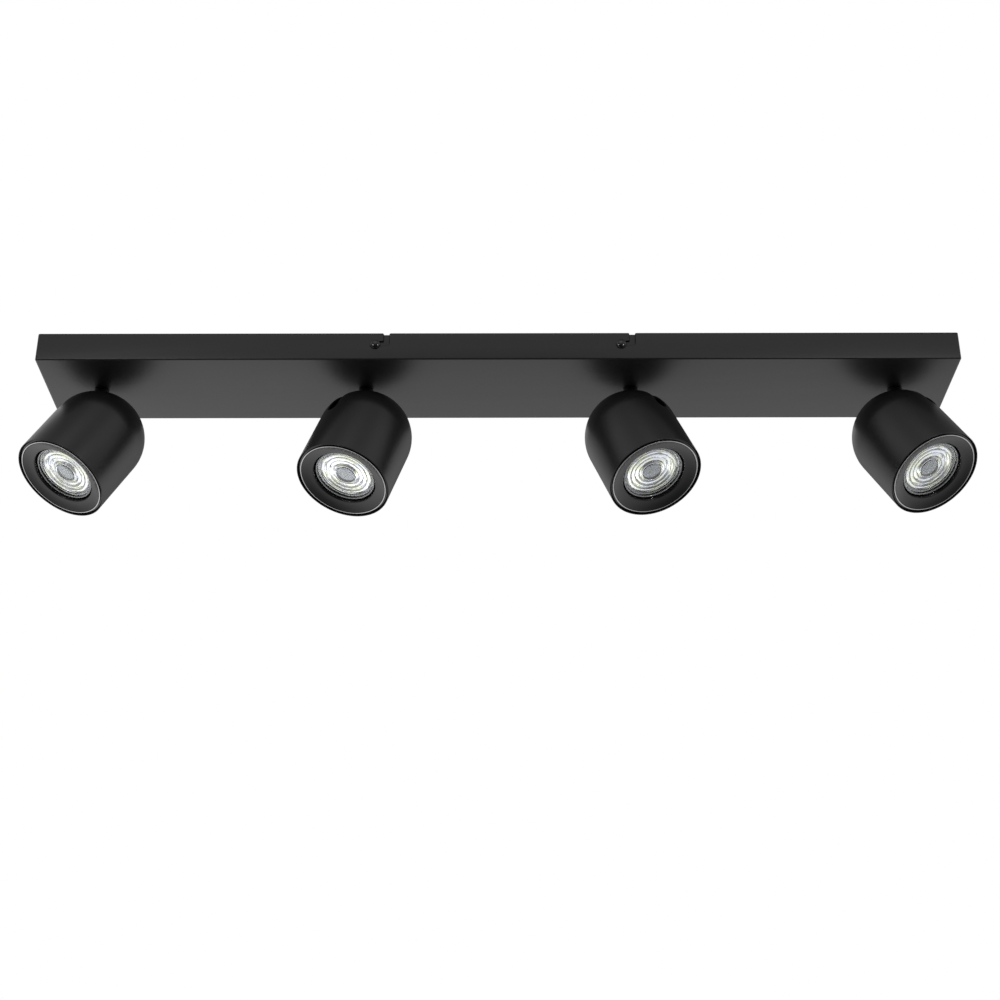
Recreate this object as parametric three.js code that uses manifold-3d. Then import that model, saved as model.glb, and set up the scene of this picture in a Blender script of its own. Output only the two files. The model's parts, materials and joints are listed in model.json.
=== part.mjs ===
// Four-head ceiling spot bar: a sheet-steel canopy on a ceiling bracket carries four GU10 spot heads.
// Each head turns on a hollow stem, and tilts as the slot in its round back slides along that stem.
// Millimetres, +Z up. X runs along the bar, -Y is the front, and the ceiling is the plane z = 0.

import * as THREE from 'three';
import { mergeVertices } from 'three/addons/utils/BufferGeometryUtils.js';
import Module from 'manifold-3d';

const wasm = await Module();
wasm.setup();

// ---- clearances ----
const restGap = 0.3;          // between two pieces that rest on or turn against each other
const boreGap = 0.3;          // round a shank, tube or spigot in its hole
const slotGap = 0.4;          // each side of the stem in the housing slot

// ---- canopy: the shallow steel tray against the ceiling ----
const headCount = 4;
const headPitch = 220;
const endMargin = 45;         // last stem to the end of the tray
const canopyWidth = 96;
const canopyHeight = 25;
const canopySheet = 1;
const canopyEdgeRadius = 1;   // bend between the walls and the floor
const canopyCornerRadius = 1.5;

// ---- bayonet slots and their screws in the two long walls ----
const sideScrewInset = 25;    // from the ends of the bracket
const sideScrewDrop = 10.8;   // below the ceiling
const sideScrewRadius = 2;
const sideScrewLength = 6;
const sideScrewHeadRadius = 4.1;
const sideScrewHeadHeight = 2.4;
const bayonetSlotWidth = 4.5;
const bayonetTravel = 9.2;    // from the entry to the seated screw
const bayonetRise = 1.3;      // the leg slopes, so that sliding draws the canopy up
const bayonetChamfer = 0.8;

// ---- ceiling bracket ----
const bracketLength = 250;
const bracketSheet = 1.2;
const bracketFlange = 17;
const bracketBendRadius = 2.3;
const ceilingSlotSpacing = 150;
const ceilingSlotLength = 18;
const ceilingSlotWidth = 5.5;
const cableHoleX = 42;
const cableHoleRadius = 10;

// ---- small parts on the bracket ----
const grommetBore = 7;
const grommetLip = 2.5;
const grommetDepth = 2;
const terminalX = -22;
const terminalLength = 34;
const terminalWidth = 18;
const terminalHeight = 14;
const terminalPoles = 3;
const terminalPitch = 10.5;
const terminalPortRadius = 2;
const terminalWellRadius = 2.6;
const terminalWellDepth = 4;
const earthStudX = 12;
const earthStudRadius = 2;
const earthStudLength = 10;
const earthNutFlats = 7;
const earthNutHeight = 3.2;

// ---- stem, its nuts and its collar ----
const stemRadius = 5;
const stemBore = 3.4;
const stemAboveNut = 1.5;
const nutFlats = 14;
const stemNutHeight = 4.5;
const stemNutFlangeRadius = 9.5;
const stemNutFlange = 1.6;
const collarHeight = 6;
const collarFootGap = 0.5;    // lets the foot pass from the round back onto the barrel
const collarRadius = 6.1;
const collarGroove = 0.6;
const collarGrooveWidth = 0.5;
const stopReach = 13;         // turning stop: finger on the stem nut against a lug in the tray
const stopWidth = 1.9;
const stopLugHeight = 3;
const stopLugLength = 3;

// ---- housing: a tube with a hemispherical back ----
const housingRadius = 39;
const housingWall = 1.1;
const barrelLength = 53;    // centre of the round back to the mouth
const housingSegments = 24;
const domeRings = 6;

// ---- saddle that clamps the housing wall from inside ----
const saddleGap = 0.8;
const saddleRadius = 12.5;
const saddleHalfWidth = 9;
const saddleThickness = 3.5;  // crown to flat back
const saddleNutHeight = 4.5;
const stemBelowNut = 1;

// ---- bezel in the mouth ----
const bezelGap = 0.5;         // round the bezel, inside the mouth
const bezelRecess = 0.3;
const bezelSkirt = 10;
const bezelSkirtWall = 1.2;
const bezelOpening = 26.2;
const bezelConeDepth = 3.3;
const bezelPlate = 1.3;
const bezelBaffle = 3.5;
const bezelBaffleWall = 1.2;

// ---- GU10 lamp ----
const lampRadius = 25;
const lampRecess = 5.7;       // glass rim behind the mouth
const lampRimLength = 3.5;
const lampGlassLength = 41;
const lampNeckRadius = 13.6;
const lampShellWall = 1.3;
const lensRecess = 0.9;
const lensThickness = 2.2;
const lensDomeRadius = 8.4;
const lensDomeHeight = 0.7;
const lampBaseRadius = 13;
const lampBaseLength = 5.5;
const pinSpacing = 10;
const pinLength = 7.5;
const pinRadius = 1.6;
const pinHeadRadius = 2.5;
const pinHeadLength = 2.5;

// ---- lamp holder and the strap that carries it ----
const holderRadius = 13.5;
const holderLength = 14.5;
const holderPinHole = 3.2;
const holderPinDepth = 9;
const strapWidth = 14;
const strapSheet = 1.2;
const strapLegInset = 5.8;    // from the bore of the housing
const strapWireHole = 4;

// ---- how the four heads stand: degrees about Z from +X, and degrees of tilt from straight down ----
const headPoses = [
  { azimuth: -142, tilt: 29.9 },
  { azimuth: -133.2, tilt: 24 },
  { azimuth: -49.5, tilt: 27.4 },
  { azimuth: -48.3, tilt: 31.9 },
];

// ---- places worked out from the sizes above ----
const canopyLength = headPitch * (headCount - 1) + 2 * endMargin;
const canopyFloorTop = -canopyHeight + canopySheet;
const bracketHalfWidth = canopyWidth / 2 - canopySheet - restGap;
const sideScrewSpacing = bracketLength - 2 * sideScrewInset;
const collarTop = -canopyHeight - restGap;
const pivotZ = collarTop - collarHeight - collarFootGap - housingRadius;
const boreRadius = housingRadius - housingWall;
const bezelRadius = boreRadius - bezelGap;
const stemNutBottom = canopyFloorTop + restGap;
const stemTop = stemNutBottom + stemNutFlange + stemNutHeight + stemAboveNut;
const saddleTopRadius = boreRadius - saddleGap;
const saddleBack = saddleTopRadius - saddleThickness;
const saddleNutTop = saddleBack - restGap;
const stemBottom = saddleNutTop - saddleNutHeight - stemBelowNut;
const mouthZ = -barrelLength;
const skirtEndZ = mouthZ + bezelRecess + bezelSkirt;
const lampFrontZ = mouthZ + lampRecess;
const lampBaseZ = lampFrontZ + lampGlassLength;
const lampShoulderZ = lampBaseZ + lampBaseLength;
const holderFrontZ = lampShoulderZ + restGap;
const strapZ = holderFrontZ + holderLength + restGap;

// ---- finishes ----
function finish(color, roughness, metalness) {
  return new THREE.MeshStandardMaterial({ color, roughness, metalness });
}

const finishes = {
  canopyPaint: () => finish(0x2b2b2c, 0.5, 0.2),
  headPaint: () => finish(0x29292a, 0.55, 0.2),
  bezelPaint: () => finish(0x38383a, 0.5, 0.2),
  blackChrome: () => finish(0x101011, 0.15, 0.8),
  zincSteel: () => finish(0x8d9092, 0.4, 0.9),
  nylon: () => finish(0xe9e7df, 0.5, 0),
  rubber: () => finish(0x1a1a1a, 0.8, 0),
  ceramic: () => finish(0xded9cc, 0.6, 0),
  lampShell: () => finish(0xc8cbcc, 0.2, 0.1),
  lampLens: () => finish(0xdfe3e6, 0.15, 0.1),
};

// ---- shape helpers ----

// Welds a geometry to bare positions, drops flat triangles and turns its faces outwards.
function welded(geometry) {
  geometry.deleteAttribute('normal');
  geometry.deleteAttribute('uv');
  const merged = mergeVertices(geometry, 1e-4);
  const position = merged.attributes.position;
  const index = merged.index.array;
  const triangles = [];
  const a = new THREE.Vector3();
  const b = new THREE.Vector3();
  const c = new THREE.Vector3();
  let volume = 0;
  for (let i = 0; i < index.length; i += 3) {
    const [p, q, r] = [index[i], index[i + 1], index[i + 2]];
    if (p === q || q === r || r === p) continue;
    triangles.push(p, q, r);
    a.fromBufferAttribute(position, p);
    b.fromBufferAttribute(position, q);
    c.fromBufferAttribute(position, r);
    volume += a.dot(b.cross(c));
  }
  if (volume < 0) triangles.reverse();
  return { vertProperties: new Float32Array(position.array), triVerts: new Uint32Array(triangles) };
}

function solid(geometry) {
  return new wasm.Manifold(new wasm.Mesh({ numProp: 3, ...welded(geometry) }));
}

function surface(manifold) {
  const mesh = manifold.getMesh();
  const geometry = new THREE.BufferGeometry();
  geometry.setAttribute('position', new THREE.BufferAttribute(mesh.vertProperties, 3));
  geometry.setIndex(new THREE.BufferAttribute(mesh.triVerts, 1));
  geometry.computeVertexNormals();
  return geometry;
}

// A profile of [radius, height] points turned about Z.
function turned(profile, segments) {
  const points = profile.map(([radius, height]) => new THREE.Vector2(radius, height));
  return solid(new THREE.LatheGeometry(points, segments).rotateX(Math.PI / 2));
}

// A ring: the same, with the profile closed on itself.
function turnedRing(profile, segments) {
  return turned([...profile, profile[0]], segments);
}

function cylinder(radius, bottom, top, segments) {
  return turned([[0, bottom], [radius, bottom], [radius, top], [0, top]], segments);
}

function box(sizeX, sizeY, sizeZ, x, y, z) {
  return solid(new THREE.BoxGeometry(sizeX, sizeY, sizeZ).translate(x, y, z));
}

function outline(points) {
  return new THREE.Shape(points.map(([x, y]) => new THREE.Vector2(x, y)));
}

// Hexagon across flats, with a round hole.
function hexNut(flats, hole, bottom, height) {
  const corner = flats / Math.sqrt(3);
  const corners = Array.from({ length: 6 }, (_, i) => i * Math.PI / 3);
  const shape = outline(corners.map((angle) => [corner * Math.cos(angle), corner * Math.sin(angle)]));
  shape.holes.push(new THREE.Path().absarc(0, 0, hole, 0, 2 * Math.PI));
  const options = { depth: height, bevelEnabled: false, curveSegments: 8 };
  return solid(new THREE.ExtrudeGeometry(shape, options).translate(0, 0, bottom));
}

// Rectangle with rounded corners, centred.
function roundedRectangle(length, width, radius) {
  const [x, y] = [length / 2, width / 2];
  const shape = new THREE.Shape();
  shape.absarc(x - radius, y - radius, radius, 0, Math.PI / 2);
  shape.absarc(radius - x, y - radius, radius, Math.PI / 2, Math.PI);
  shape.absarc(radius - x, radius - y, radius, Math.PI, 1.5 * Math.PI);
  shape.absarc(x - radius, radius - y, radius, 1.5 * Math.PI, 2 * Math.PI);
  return shape;
}

// Slot with round ends along X, cut through in Z.
function roundSlot(length, width, x, bottom, top) {
  const shape = roundedRectangle(length, width, width / 2);
  const options = { depth: top - bottom, bevelEnabled: false, curveSegments: 3 };
  return solid(new THREE.ExtrudeGeometry(shape, options).translate(x, 0, bottom));
}

// Sends a shape drawn in XY and extruded along +Z to the XZ plane, extruded along -Y.
function standing(geometry) {
  return geometry.rotateX(Math.PI / 2);
}

// ---- canopy ----

// A block with rounded upright corners and a rounded lower edge, from its floor up past the ceiling.
function trayBlock(length, width, floorZ, cornerRadius, edgeRadius) {
  const shape = roundedRectangle(length - 2 * edgeRadius, width - 2 * edgeRadius, cornerRadius);
  const depth = canopyHeight;
  const options = {
    depth, bevelThickness: edgeRadius, bevelSize: edgeRadius, bevelSegments: 2, curveSegments: 2,
  };
  return solid(new THREE.ExtrudeGeometry(shape, options).translate(0, 0, floorZ + edgeRadius));
}

// L-shaped slot in both long walls: in at the rim, down, and along a slope to the screw.
function bayonetSlot(screwX) {
  const half = bayonetSlotWidth / 2;
  const entryX = screwX + bayonetTravel;
  const lean = Math.atan2(bayonetRise, bayonetTravel);
  const cornerZ = half / Math.cos(lean) + (bayonetTravel - half) * Math.tan(lean) - sideScrewDrop;
  const shape = new THREE.Shape();
  shape.moveTo(entryX - half - bayonetChamfer, restGap);
  shape.lineTo(entryX - half - bayonetChamfer, 0);
  shape.lineTo(entryX - half, -bayonetChamfer);
  shape.lineTo(entryX - half, cornerZ);
  shape.absarc(screwX, -sideScrewDrop, half, Math.PI / 2 + lean, 1.5 * Math.PI + lean);
  shape.absarc(entryX, bayonetRise - sideScrewDrop, half, 1.5 * Math.PI + lean, 2 * Math.PI);
  shape.lineTo(entryX + half, -bayonetChamfer);
  shape.lineTo(entryX + half + bayonetChamfer, 0);
  shape.lineTo(entryX + half + bayonetChamfer, restGap);
  const options = { depth: 2 * canopyWidth, bevelEnabled: false, curveSegments: 3 };
  return solid(standing(new THREE.ExtrudeGeometry(shape, options)).translate(0, canopyWidth, 0));
}

function canopyShape() {
  let tray = trayBlock(canopyLength, canopyWidth, -canopyHeight, canopyCornerRadius, canopyEdgeRadius);
  const innerEdge = Math.max(canopyEdgeRadius - canopySheet / 2, 0.1);
  tray = tray.subtract(trayBlock(
    canopyLength - 2 * canopySheet, canopyWidth - 2 * canopySheet, canopyFloorTop,
    canopyCornerRadius - canopySheet / 2, innerEdge,
  ));
  tray = tray.subtract(box(2 * canopyLength, 2 * canopyWidth, canopyHeight, 0, 0, canopyHeight / 2));
  for (const side of [-1, 1]) tray = tray.subtract(bayonetSlot(side * sideScrewSpacing / 2));
  for (const x of headPlaces()) {
    const hole = cylinder(stemRadius + boreGap, -2 * canopyHeight, 0, 14).translate(x, 0, 0);
    const lugY = stopReach - stopLugLength / 2;
    const lug = box(
      stopWidth, stopLugLength, stopLugHeight + canopySheet / 2,
      x, lugY, canopyFloorTop + (stopLugHeight - canopySheet / 2) / 2,
    );
    tray = tray.subtract(hole).add(lug);
  }
  return surface(tray);
}

function headPlaces() {
  const first = -headPitch * (headCount - 1) / 2;
  return Array.from({ length: headCount }, (_, i) => first + i * headPitch);
}

// ---- bracket and what is on it ----

function bracketShape() {
  const [y, z, sheet, bend] = [bracketHalfWidth, bracketFlange, bracketSheet, bracketBendRadius];
  const inner = Math.max(bend - sheet, 0.1);
  const profile = new THREE.Shape();
  profile.moveTo(-y, -z);
  profile.absarc(bend - y, -bend, bend, Math.PI, Math.PI / 2, true);
  profile.absarc(y - bend, -bend, bend, Math.PI / 2, 0, true);
  profile.lineTo(y, -z);
  profile.lineTo(y - sheet, -z);
  profile.absarc(y - sheet - inner, -sheet - inner, inner, 0, Math.PI / 2, false);
  profile.absarc(sheet + inner - y, -sheet - inner, inner, Math.PI / 2, Math.PI, false);
  profile.lineTo(sheet - y, -z);
  const options = { depth: bracketLength, bevelEnabled: false, curveSegments: 2 };
  const channel = new THREE.ExtrudeGeometry(profile, options);
  channel.translate(0, 0, -bracketLength / 2).rotateX(Math.PI / 2).rotateZ(Math.PI / 2);
  let bracket = solid(channel);
  for (const side of [-1, 1]) {
    const screwX = side * sideScrewSpacing / 2;
    const bore = cylinder(sideScrewRadius + boreGap, -canopyWidth, canopyWidth, 10);
    bracket = bracket.subtract(bore.rotate([90, 0, 0]).translate(screwX, 0, -sideScrewDrop));
    const slotX = side * ceilingSlotSpacing / 2;
    bracket = bracket.subtract(roundSlot(
      ceilingSlotLength, ceilingSlotWidth, slotX, -2 * bracketSheet, bracketSheet,
    ));
  }
  const cableHole = cylinder(cableHoleRadius, -2 * bracketSheet, bracketSheet, 16);
  return surface(bracket.subtract(cableHole.translate(cableHoleX, 0, 0)));
}

// Round-headed screw along Y, its head on the outside of the canopy wall.
function sideScrewShape() {
  const [radius, height] = [sideScrewHeadRadius, sideScrewHeadHeight];
  const dome = [0.3, 0.6, 0.85].map((part) => [
    radius * Math.cos(part * Math.PI / 2), height * (0.25 + 0.75 * Math.sin(part * Math.PI / 2)),
  ]);
  const screw = turned([
    [0, -sideScrewLength], [sideScrewRadius, -sideScrewLength], [sideScrewRadius, 0],
    [radius, 0], [radius, height * 0.25], ...dome, [0, height],
  ], 12);
  return surface(screw.rotate([90, 0, 0]));
}

function grommetShape() {
  const spigot = cableHoleRadius - boreGap;
  const lipTop = -bracketSheet - restGap;
  const ring = turnedRing([
    [grommetBore, -restGap], [spigot, -restGap], [spigot, lipTop],
    [cableHoleRadius + grommetLip, lipTop], [cableHoleRadius + grommetLip, lipTop - grommetDepth],
    [grommetBore, lipTop - grommetDepth],
  ], 16);
  return surface(ring);
}

function terminalBlockShape() {
  const bottom = -bracketSheet - terminalHeight;
  let block = box(
    terminalLength, terminalWidth, terminalHeight, terminalX, 0, -bracketSheet - terminalHeight / 2,
  );
  const firstPole = -terminalPitch * (terminalPoles - 1) / 2;
  for (let pole = 0; pole < terminalPoles; pole += 1) {
    const x = terminalX + firstPole + pole * terminalPitch;
    const port = cylinder(terminalPortRadius, -terminalWidth, terminalWidth, 8).rotate([90, 0, 0]);
    block = block.subtract(port.translate(x, 0, bottom + terminalHeight / 2));
    for (const side of [-1, 1]) {
      const well = cylinder(terminalWellRadius, -restGap, terminalWellDepth, 8);
      block = block.subtract(well.translate(x, side * terminalWidth / 4, bottom));
    }
  }
  return surface(block);
}

function earthStudShape() {
  const top = -bracketSheet;
  const stud = cylinder(earthStudRadius, top - earthStudLength, top, 10);
  const nut = hexNut(earthNutFlats, earthStudRadius / 2, top - earthNutHeight, earthNutHeight);
  return surface(stud.add(nut).translate(earthStudX, 0, 0));
}

// ---- stem parts, drawn about the stem's axis with z as in the whole object ----

function stemShape() {
  const bottom = pivotZ + stemBottom;
  return surface(turnedRing([
    [stemBore, bottom], [stemRadius, bottom], [stemRadius, stemTop], [stemBore, stemTop],
  ], 16));
}

function stemNutShape() {
  const hole = stemRadius + boreGap;
  const flangeTop = stemNutBottom + stemNutFlange;
  const flange = turnedRing([
    [hole, stemNutBottom], [stemNutFlangeRadius, stemNutBottom],
    [stemNutFlangeRadius, flangeTop], [hole, flangeTop],
  ], 16);
  const fingerStart = (hole + stemNutFlangeRadius) / 2;
  const finger = box(
    stopReach - fingerStart, stopWidth, stemNutFlange,
    (stopReach + fingerStart) / 2, 0, stemNutBottom + stemNutFlange / 2,
  );
  const nut = hexNut(nutFlats, hole, stemNutBottom, stemNutFlange + stemNutHeight);
  return surface(flange.add(finger).add(nut));
}

// Height of a ball about the pivot at a given distance from the stem's axis.
function ballHeight(ballRadius, distance) {
  return pivotZ + Math.sqrt(ballRadius ** 2 - distance ** 2);
}

// Grooved collar whose foot is hollowed to sit on the round back.
function collarShape() {
  const [bore, ball] = [stemRadius + boreGap, housingRadius + collarFootGap];
  const grooveTop = collarTop - collarHeight * 0.58;
  const grooveBottom = grooveTop - collarGrooveWidth;
  return surface(turnedRing([
    [bore, collarTop], [collarRadius - collarGroove / 2, collarTop],
    [collarRadius - collarGroove / 2, grooveTop], [collarRadius - collarGroove, grooveTop],
    [collarRadius - collarGroove, grooveBottom], [collarRadius, grooveBottom],
    [collarRadius, ballHeight(ball, collarRadius)], [bore, ballHeight(ball, bore)],
  ], 16));
}

// Saddle inside the round back: domed face on the housing wall, flat face for its nut.
function saddleShape() {
  const bore = stemRadius + boreGap;
  const arc = [1, 0.72, 0.4, 0].map((part) => {
    const distance = bore + (saddleRadius - bore) * part;
    return [distance, ballHeight(saddleTopRadius, distance)];
  });
  const flatZ = pivotZ + saddleBack;
  const disc = turnedRing([[bore, flatZ], [saddleRadius, flatZ], ...arc], 16);
  const band = box(4 * saddleRadius, 2 * saddleHalfWidth, 4 * saddleRadius, 0, 0, flatZ);
  return surface(disc.intersect(band));
}

function saddleNutShape() {
  const bottom = pivotZ + saddleNutTop - saddleNutHeight;
  return surface(hexNut(nutFlats, stemRadius + boreGap, bottom, saddleNutHeight));
}

// ---- head parts, drawn about the centre of the round back with the lamp facing -Z ----

// Quarter arc of [radius, height] points from the widest place up to the axis.
function domeArc(radius, rings) {
  return Array.from({ length: rings + 1 }, (_, i) => {
    const angle = i / rings * Math.PI / 2;
    return [radius * Math.cos(angle), radius * Math.sin(angle)];
  });
}

function roundBacked(radius, mouth, rings) {
  const arc = domeArc(radius, rings);
  arc[rings] = [0, radius];
  return turned([[0, mouth], [radius, mouth], ...arc], housingSegments);
}

// Slot from the top of the round back down to its widest place, towards +X.
function tiltSlot() {
  const half = stemRadius + slotGap;
  const [inside, outside] = [housingRadius - 4 * housingWall, housingRadius + 4 * housingWall];
  const sector = new THREE.Shape();
  sector.absarc(0, 0, outside, 0, Math.PI / 2, false);
  sector.absarc(0, 0, inside, Math.PI / 2, 0, true);
  const options = { depth: 2 * half, bevelEnabled: false, curveSegments: 6 };
  const path = solid(standing(new THREE.ExtrudeGeometry(sector, options)).translate(0, half, 0));
  const end = cylinder(half, inside, outside, 12);
  return path.add(end).add(end.rotate([0, 90, 0]));
}

function housingShape() {
  const shell = roundBacked(housingRadius, mouthZ, domeRings)
    .subtract(roundBacked(boreRadius, 2 * mouthZ, domeRings));
  return surface(shell.subtract(tiltSlot()));
}

// Dished ring: skirt in the housing bore, cone in to the lamp opening, baffle behind it.
function bezelShape() {
  const front = mouthZ + bezelRecess;
  const coneZ = front + bezelConeDepth;
  return surface(turnedRing([
    [bezelRadius, front], [bezelRadius, skirtEndZ], [bezelRadius - bezelSkirtWall, skirtEndZ],
    [bezelRadius - bezelSkirtWall, front + bezelPlate],
    [bezelOpening + bezelBaffleWall, coneZ + bezelPlate],
    [bezelOpening + bezelBaffleWall, coneZ + bezelBaffle],
    [bezelOpening, coneZ + bezelBaffle], [bezelOpening, coneZ],
  ], housingSegments));
}

// Glass shell of the lamp: rim, bowl and neck, with a shallow seat for the lens.
function lampBodyShape() {
  const seatZ = lampFrontZ + lensRecess + lensThickness + restGap;
  const bowlLength = lampGlassLength - lampRimLength;
  const bowl = [0, 0.3, 0.6, 1].map((part) => [
    lampNeckRadius + (lampRadius - lampNeckRadius) * Math.cos(part * Math.PI / 2),
    lampFrontZ + lampRimLength + bowlLength * part,
  ]);
  return surface(turned([
    [0, seatZ], [lampRadius - lampShellWall, seatZ], [lampRadius - lampShellWall, lampFrontZ],
    [lampRadius, lampFrontZ], ...bowl, [0, lampBaseZ],
  ], 20));
}

function lampLensShape() {
  const front = lampFrontZ + lensRecess;
  const back = front + lensThickness;
  const rim = lampRadius - lampShellWall - boreGap;
  return surface(turned([
    [0, front - lensDomeHeight], [lensDomeRadius * 0.6, front - lensDomeHeight * 0.7],
    [lensDomeRadius, front], [rim, front], [rim, back], [0, back],
  ], 20));
}

// Base cap with the two turn-and-lock pins, which stand apart along Y.
function lampBaseShape() {
  let base = cylinder(lampBaseRadius, lampBaseZ + restGap, lampShoulderZ, 18);
  const headZ = lampShoulderZ + pinLength - pinHeadLength;
  for (const side of [-1, 1]) {
    const pin = turned([
      [0, lampBaseZ + lampBaseLength / 2], [pinRadius, lampBaseZ + lampBaseLength / 2],
      [pinRadius, headZ], [pinHeadRadius, headZ],
      [pinHeadRadius, headZ + pinHeadLength], [0, headZ + pinHeadLength],
    ], 8);
    base = base.add(pin.translate(0, side * pinSpacing / 2, 0));
  }
  return surface(base);
}

function lampHolderShape() {
  let holder = cylinder(holderRadius, holderFrontZ, holderFrontZ + holderLength, 20);
  for (const side of [-1, 1]) {
    const hole = cylinder(holderPinHole, holderFrontZ - 1, holderFrontZ + holderPinDepth, 10);
    holder = holder.subtract(hole.translate(0, side * pinSpacing / 2, 0));
  }
  return surface(holder);
}

// Steel strap: a bridge behind the lamp holder, two legs, and feet on the end of the bezel skirt.
function lampCarrierShape() {
  const [leg, sheet] = [boreRadius - strapLegInset, strapSheet];
  const footZ = skirtEndZ + restGap;
  const halfWidth = strapWidth / 2;
  const footReach = Math.sqrt((bezelRadius - bezelSkirtWall / 4) ** 2 - halfWidth ** 2);
  const side = [
    [footReach, footZ], [footReach, footZ + sheet], [leg, footZ + sheet], [leg, strapZ + sheet],
  ];
  const inside = [[leg - sheet, strapZ], [leg - sheet, footZ]];
  const mirrored = (points) => points.map(([y, z]) => [-y, z]).reverse();
  const shape = outline([...side, ...mirrored(side), ...mirrored(inside), ...inside]);
  const strap = new THREE.ExtrudeGeometry(shape, { depth: strapWidth, bevelEnabled: false });
  strap.translate(0, 0, -halfWidth).rotateX(Math.PI / 2).rotateZ(Math.PI / 2);
  const wireHole = cylinder(strapWireHole, strapZ - sheet, strapZ + 2 * sheet, 12);
  return surface(solid(strap).subtract(wireHole));
}

// ---- assembly ----

const fixture = new THREE.Group();

function addPiece(parent, name, geometry, material) {
  const mesh = new THREE.Mesh(geometry, material());
  mesh.name = name;
  parent.add(mesh);
  return mesh;
}

function addCeilingParts() {
  addPiece(fixture, 'canopy', canopyShape(), finishes.canopyPaint);
  addPiece(fixture, 'mounting_bracket', bracketShape(), finishes.canopyPaint);
  addPiece(fixture, 'terminal_block', terminalBlockShape(), finishes.nylon);
  addPiece(fixture, 'earth_stud', earthStudShape(), finishes.zincSteel);
  const grommet = addPiece(fixture, 'cable_grommet', grommetShape(), finishes.rubber);
  grommet.position.x = cableHoleX;
  const screw = sideScrewShape();
  for (const [wall, sideY] of [['front', -1], ['back', 1]]) {
    for (const [end, sideX] of [['left', -1], ['right', 1]]) {
      const name = `side_screw_${wall}_${end}`;
      const piece = addPiece(fixture, name, screw, finishes.blackChrome);
      piece.position.set(sideX * sideScrewSpacing / 2, sideY * canopyWidth / 2, -sideScrewDrop);
      if (sideY > 0) piece.rotation.z = Math.PI;
    }
  }
}

function addHeads() {
  const stemParts = [
    ['stem', stemShape(), finishes.zincSteel],
    ['stem_nut', stemNutShape(), finishes.zincSteel],
    ['collar', collarShape(), finishes.blackChrome],
    ['saddle', saddleShape(), finishes.nylon],
    ['saddle_nut', saddleNutShape(), finishes.zincSteel],
  ];
  const headParts = [
    ['housing', housingShape(), finishes.headPaint],
    ['bezel', bezelShape(), finishes.bezelPaint],
    ['lamp_carrier', lampCarrierShape(), finishes.zincSteel],
    ['lamp_holder', lampHolderShape(), finishes.ceramic],
    ['lamp_base', lampBaseShape(), finishes.ceramic],
    ['lamp_body', lampBodyShape(), finishes.lampShell],
    ['lamp_lens', lampLensShape(), finishes.lampLens],
  ];
  headPlaces().forEach((x, i) => {
    const { azimuth, tilt } = headPoses[i % headPoses.length];
    const swivel = new THREE.Group();
    swivel.position.x = x;
    swivel.rotation.z = THREE.MathUtils.degToRad(azimuth);
    const head = new THREE.Group();
    head.position.z = pivotZ;
    head.rotation.y = -THREE.MathUtils.degToRad(tilt);
    for (const [name, shape, material] of stemParts) {
      addPiece(swivel, `${name}_${i + 1}`, shape, material);
    }
    for (const [name, shape, material] of headParts) {
      addPiece(head, `${name}_${i + 1}`, shape, material);
    }
    swivel.add(head);
    fixture.add(swivel);
  });
}

addCeilingParts();
addHeads();

export default fixture;
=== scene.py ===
"""Looks of the four-head ceiling spot bar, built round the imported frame.

Metres, +Z up. X runs along the bar, -Y is the front, and the ceiling is the plane z = 0.
"""

import json
import math
from collections import namedtuple

import bmesh
import bpy
from mathutils import Matrix, Vector


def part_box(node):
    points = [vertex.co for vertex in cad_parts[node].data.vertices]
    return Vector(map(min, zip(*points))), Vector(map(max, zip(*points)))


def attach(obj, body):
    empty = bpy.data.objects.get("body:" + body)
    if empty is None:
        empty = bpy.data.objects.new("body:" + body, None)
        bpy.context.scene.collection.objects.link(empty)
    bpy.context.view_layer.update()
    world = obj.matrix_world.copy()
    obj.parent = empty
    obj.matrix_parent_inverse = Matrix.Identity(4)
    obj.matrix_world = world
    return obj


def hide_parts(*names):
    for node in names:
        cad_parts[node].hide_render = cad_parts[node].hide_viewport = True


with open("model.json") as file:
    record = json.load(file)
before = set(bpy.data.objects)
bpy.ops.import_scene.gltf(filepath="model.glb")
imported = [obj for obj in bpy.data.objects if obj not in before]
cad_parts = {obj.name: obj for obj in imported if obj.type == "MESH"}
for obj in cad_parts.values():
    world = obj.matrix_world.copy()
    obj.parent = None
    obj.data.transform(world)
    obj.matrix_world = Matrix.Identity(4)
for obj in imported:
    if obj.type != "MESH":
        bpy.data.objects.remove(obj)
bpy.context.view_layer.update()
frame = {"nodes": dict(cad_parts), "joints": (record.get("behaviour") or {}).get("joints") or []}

MM = 0.001
TOUCH = 0.002 * MM            # points nearer than this are one point
SHARP = math.radians(32)      # edges that turn more than this are shaded as edges
HEADS = range(1, 5)
ENDS = ("left", "right")

# ---- how finely round pieces are turned ----
HEAD_STEPS = 160
COLLAR_STEPS = 96
SMALL_STEPS = 72
SLOT_END_STEPS = 64
STEM_STEPS = 48
STUD_STEPS = 40
TINY_STEPS = 32
DOME_RINGS = 48
ARC_STEPS = 12                # of beads, slot ends and shallow domes

# ---- canopy ----
CANOPY_SHEET = 1.0 * MM
CANOPY_BEND = 1.3 * MM
CANOPY_CORNER = 1.8 * MM
RIM_ROUND = 0.45 * MM
BAYONET_WIDTH = 4.5 * MM
BAYONET_TRAVEL = 9.2 * MM     # from the entry to the seated screw
BAYONET_RISE = 1.3 * MM       # slope of the leg, which draws the canopy up
BAYONET_CHAMFER = 0.8 * MM
BAYONET_STEP = 0.35 * MM      # coined edge round the slots
BAYONET_TURN_STEPS = 8
LUG_REACH = 11.5 * MM         # centre of the turning stop, from the stem's axis
LUG_SIZE = (1.9 * MM, 3.0 * MM, 3.0 * MM)
STEM_CLEARANCE = 0.3 * MM

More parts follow.
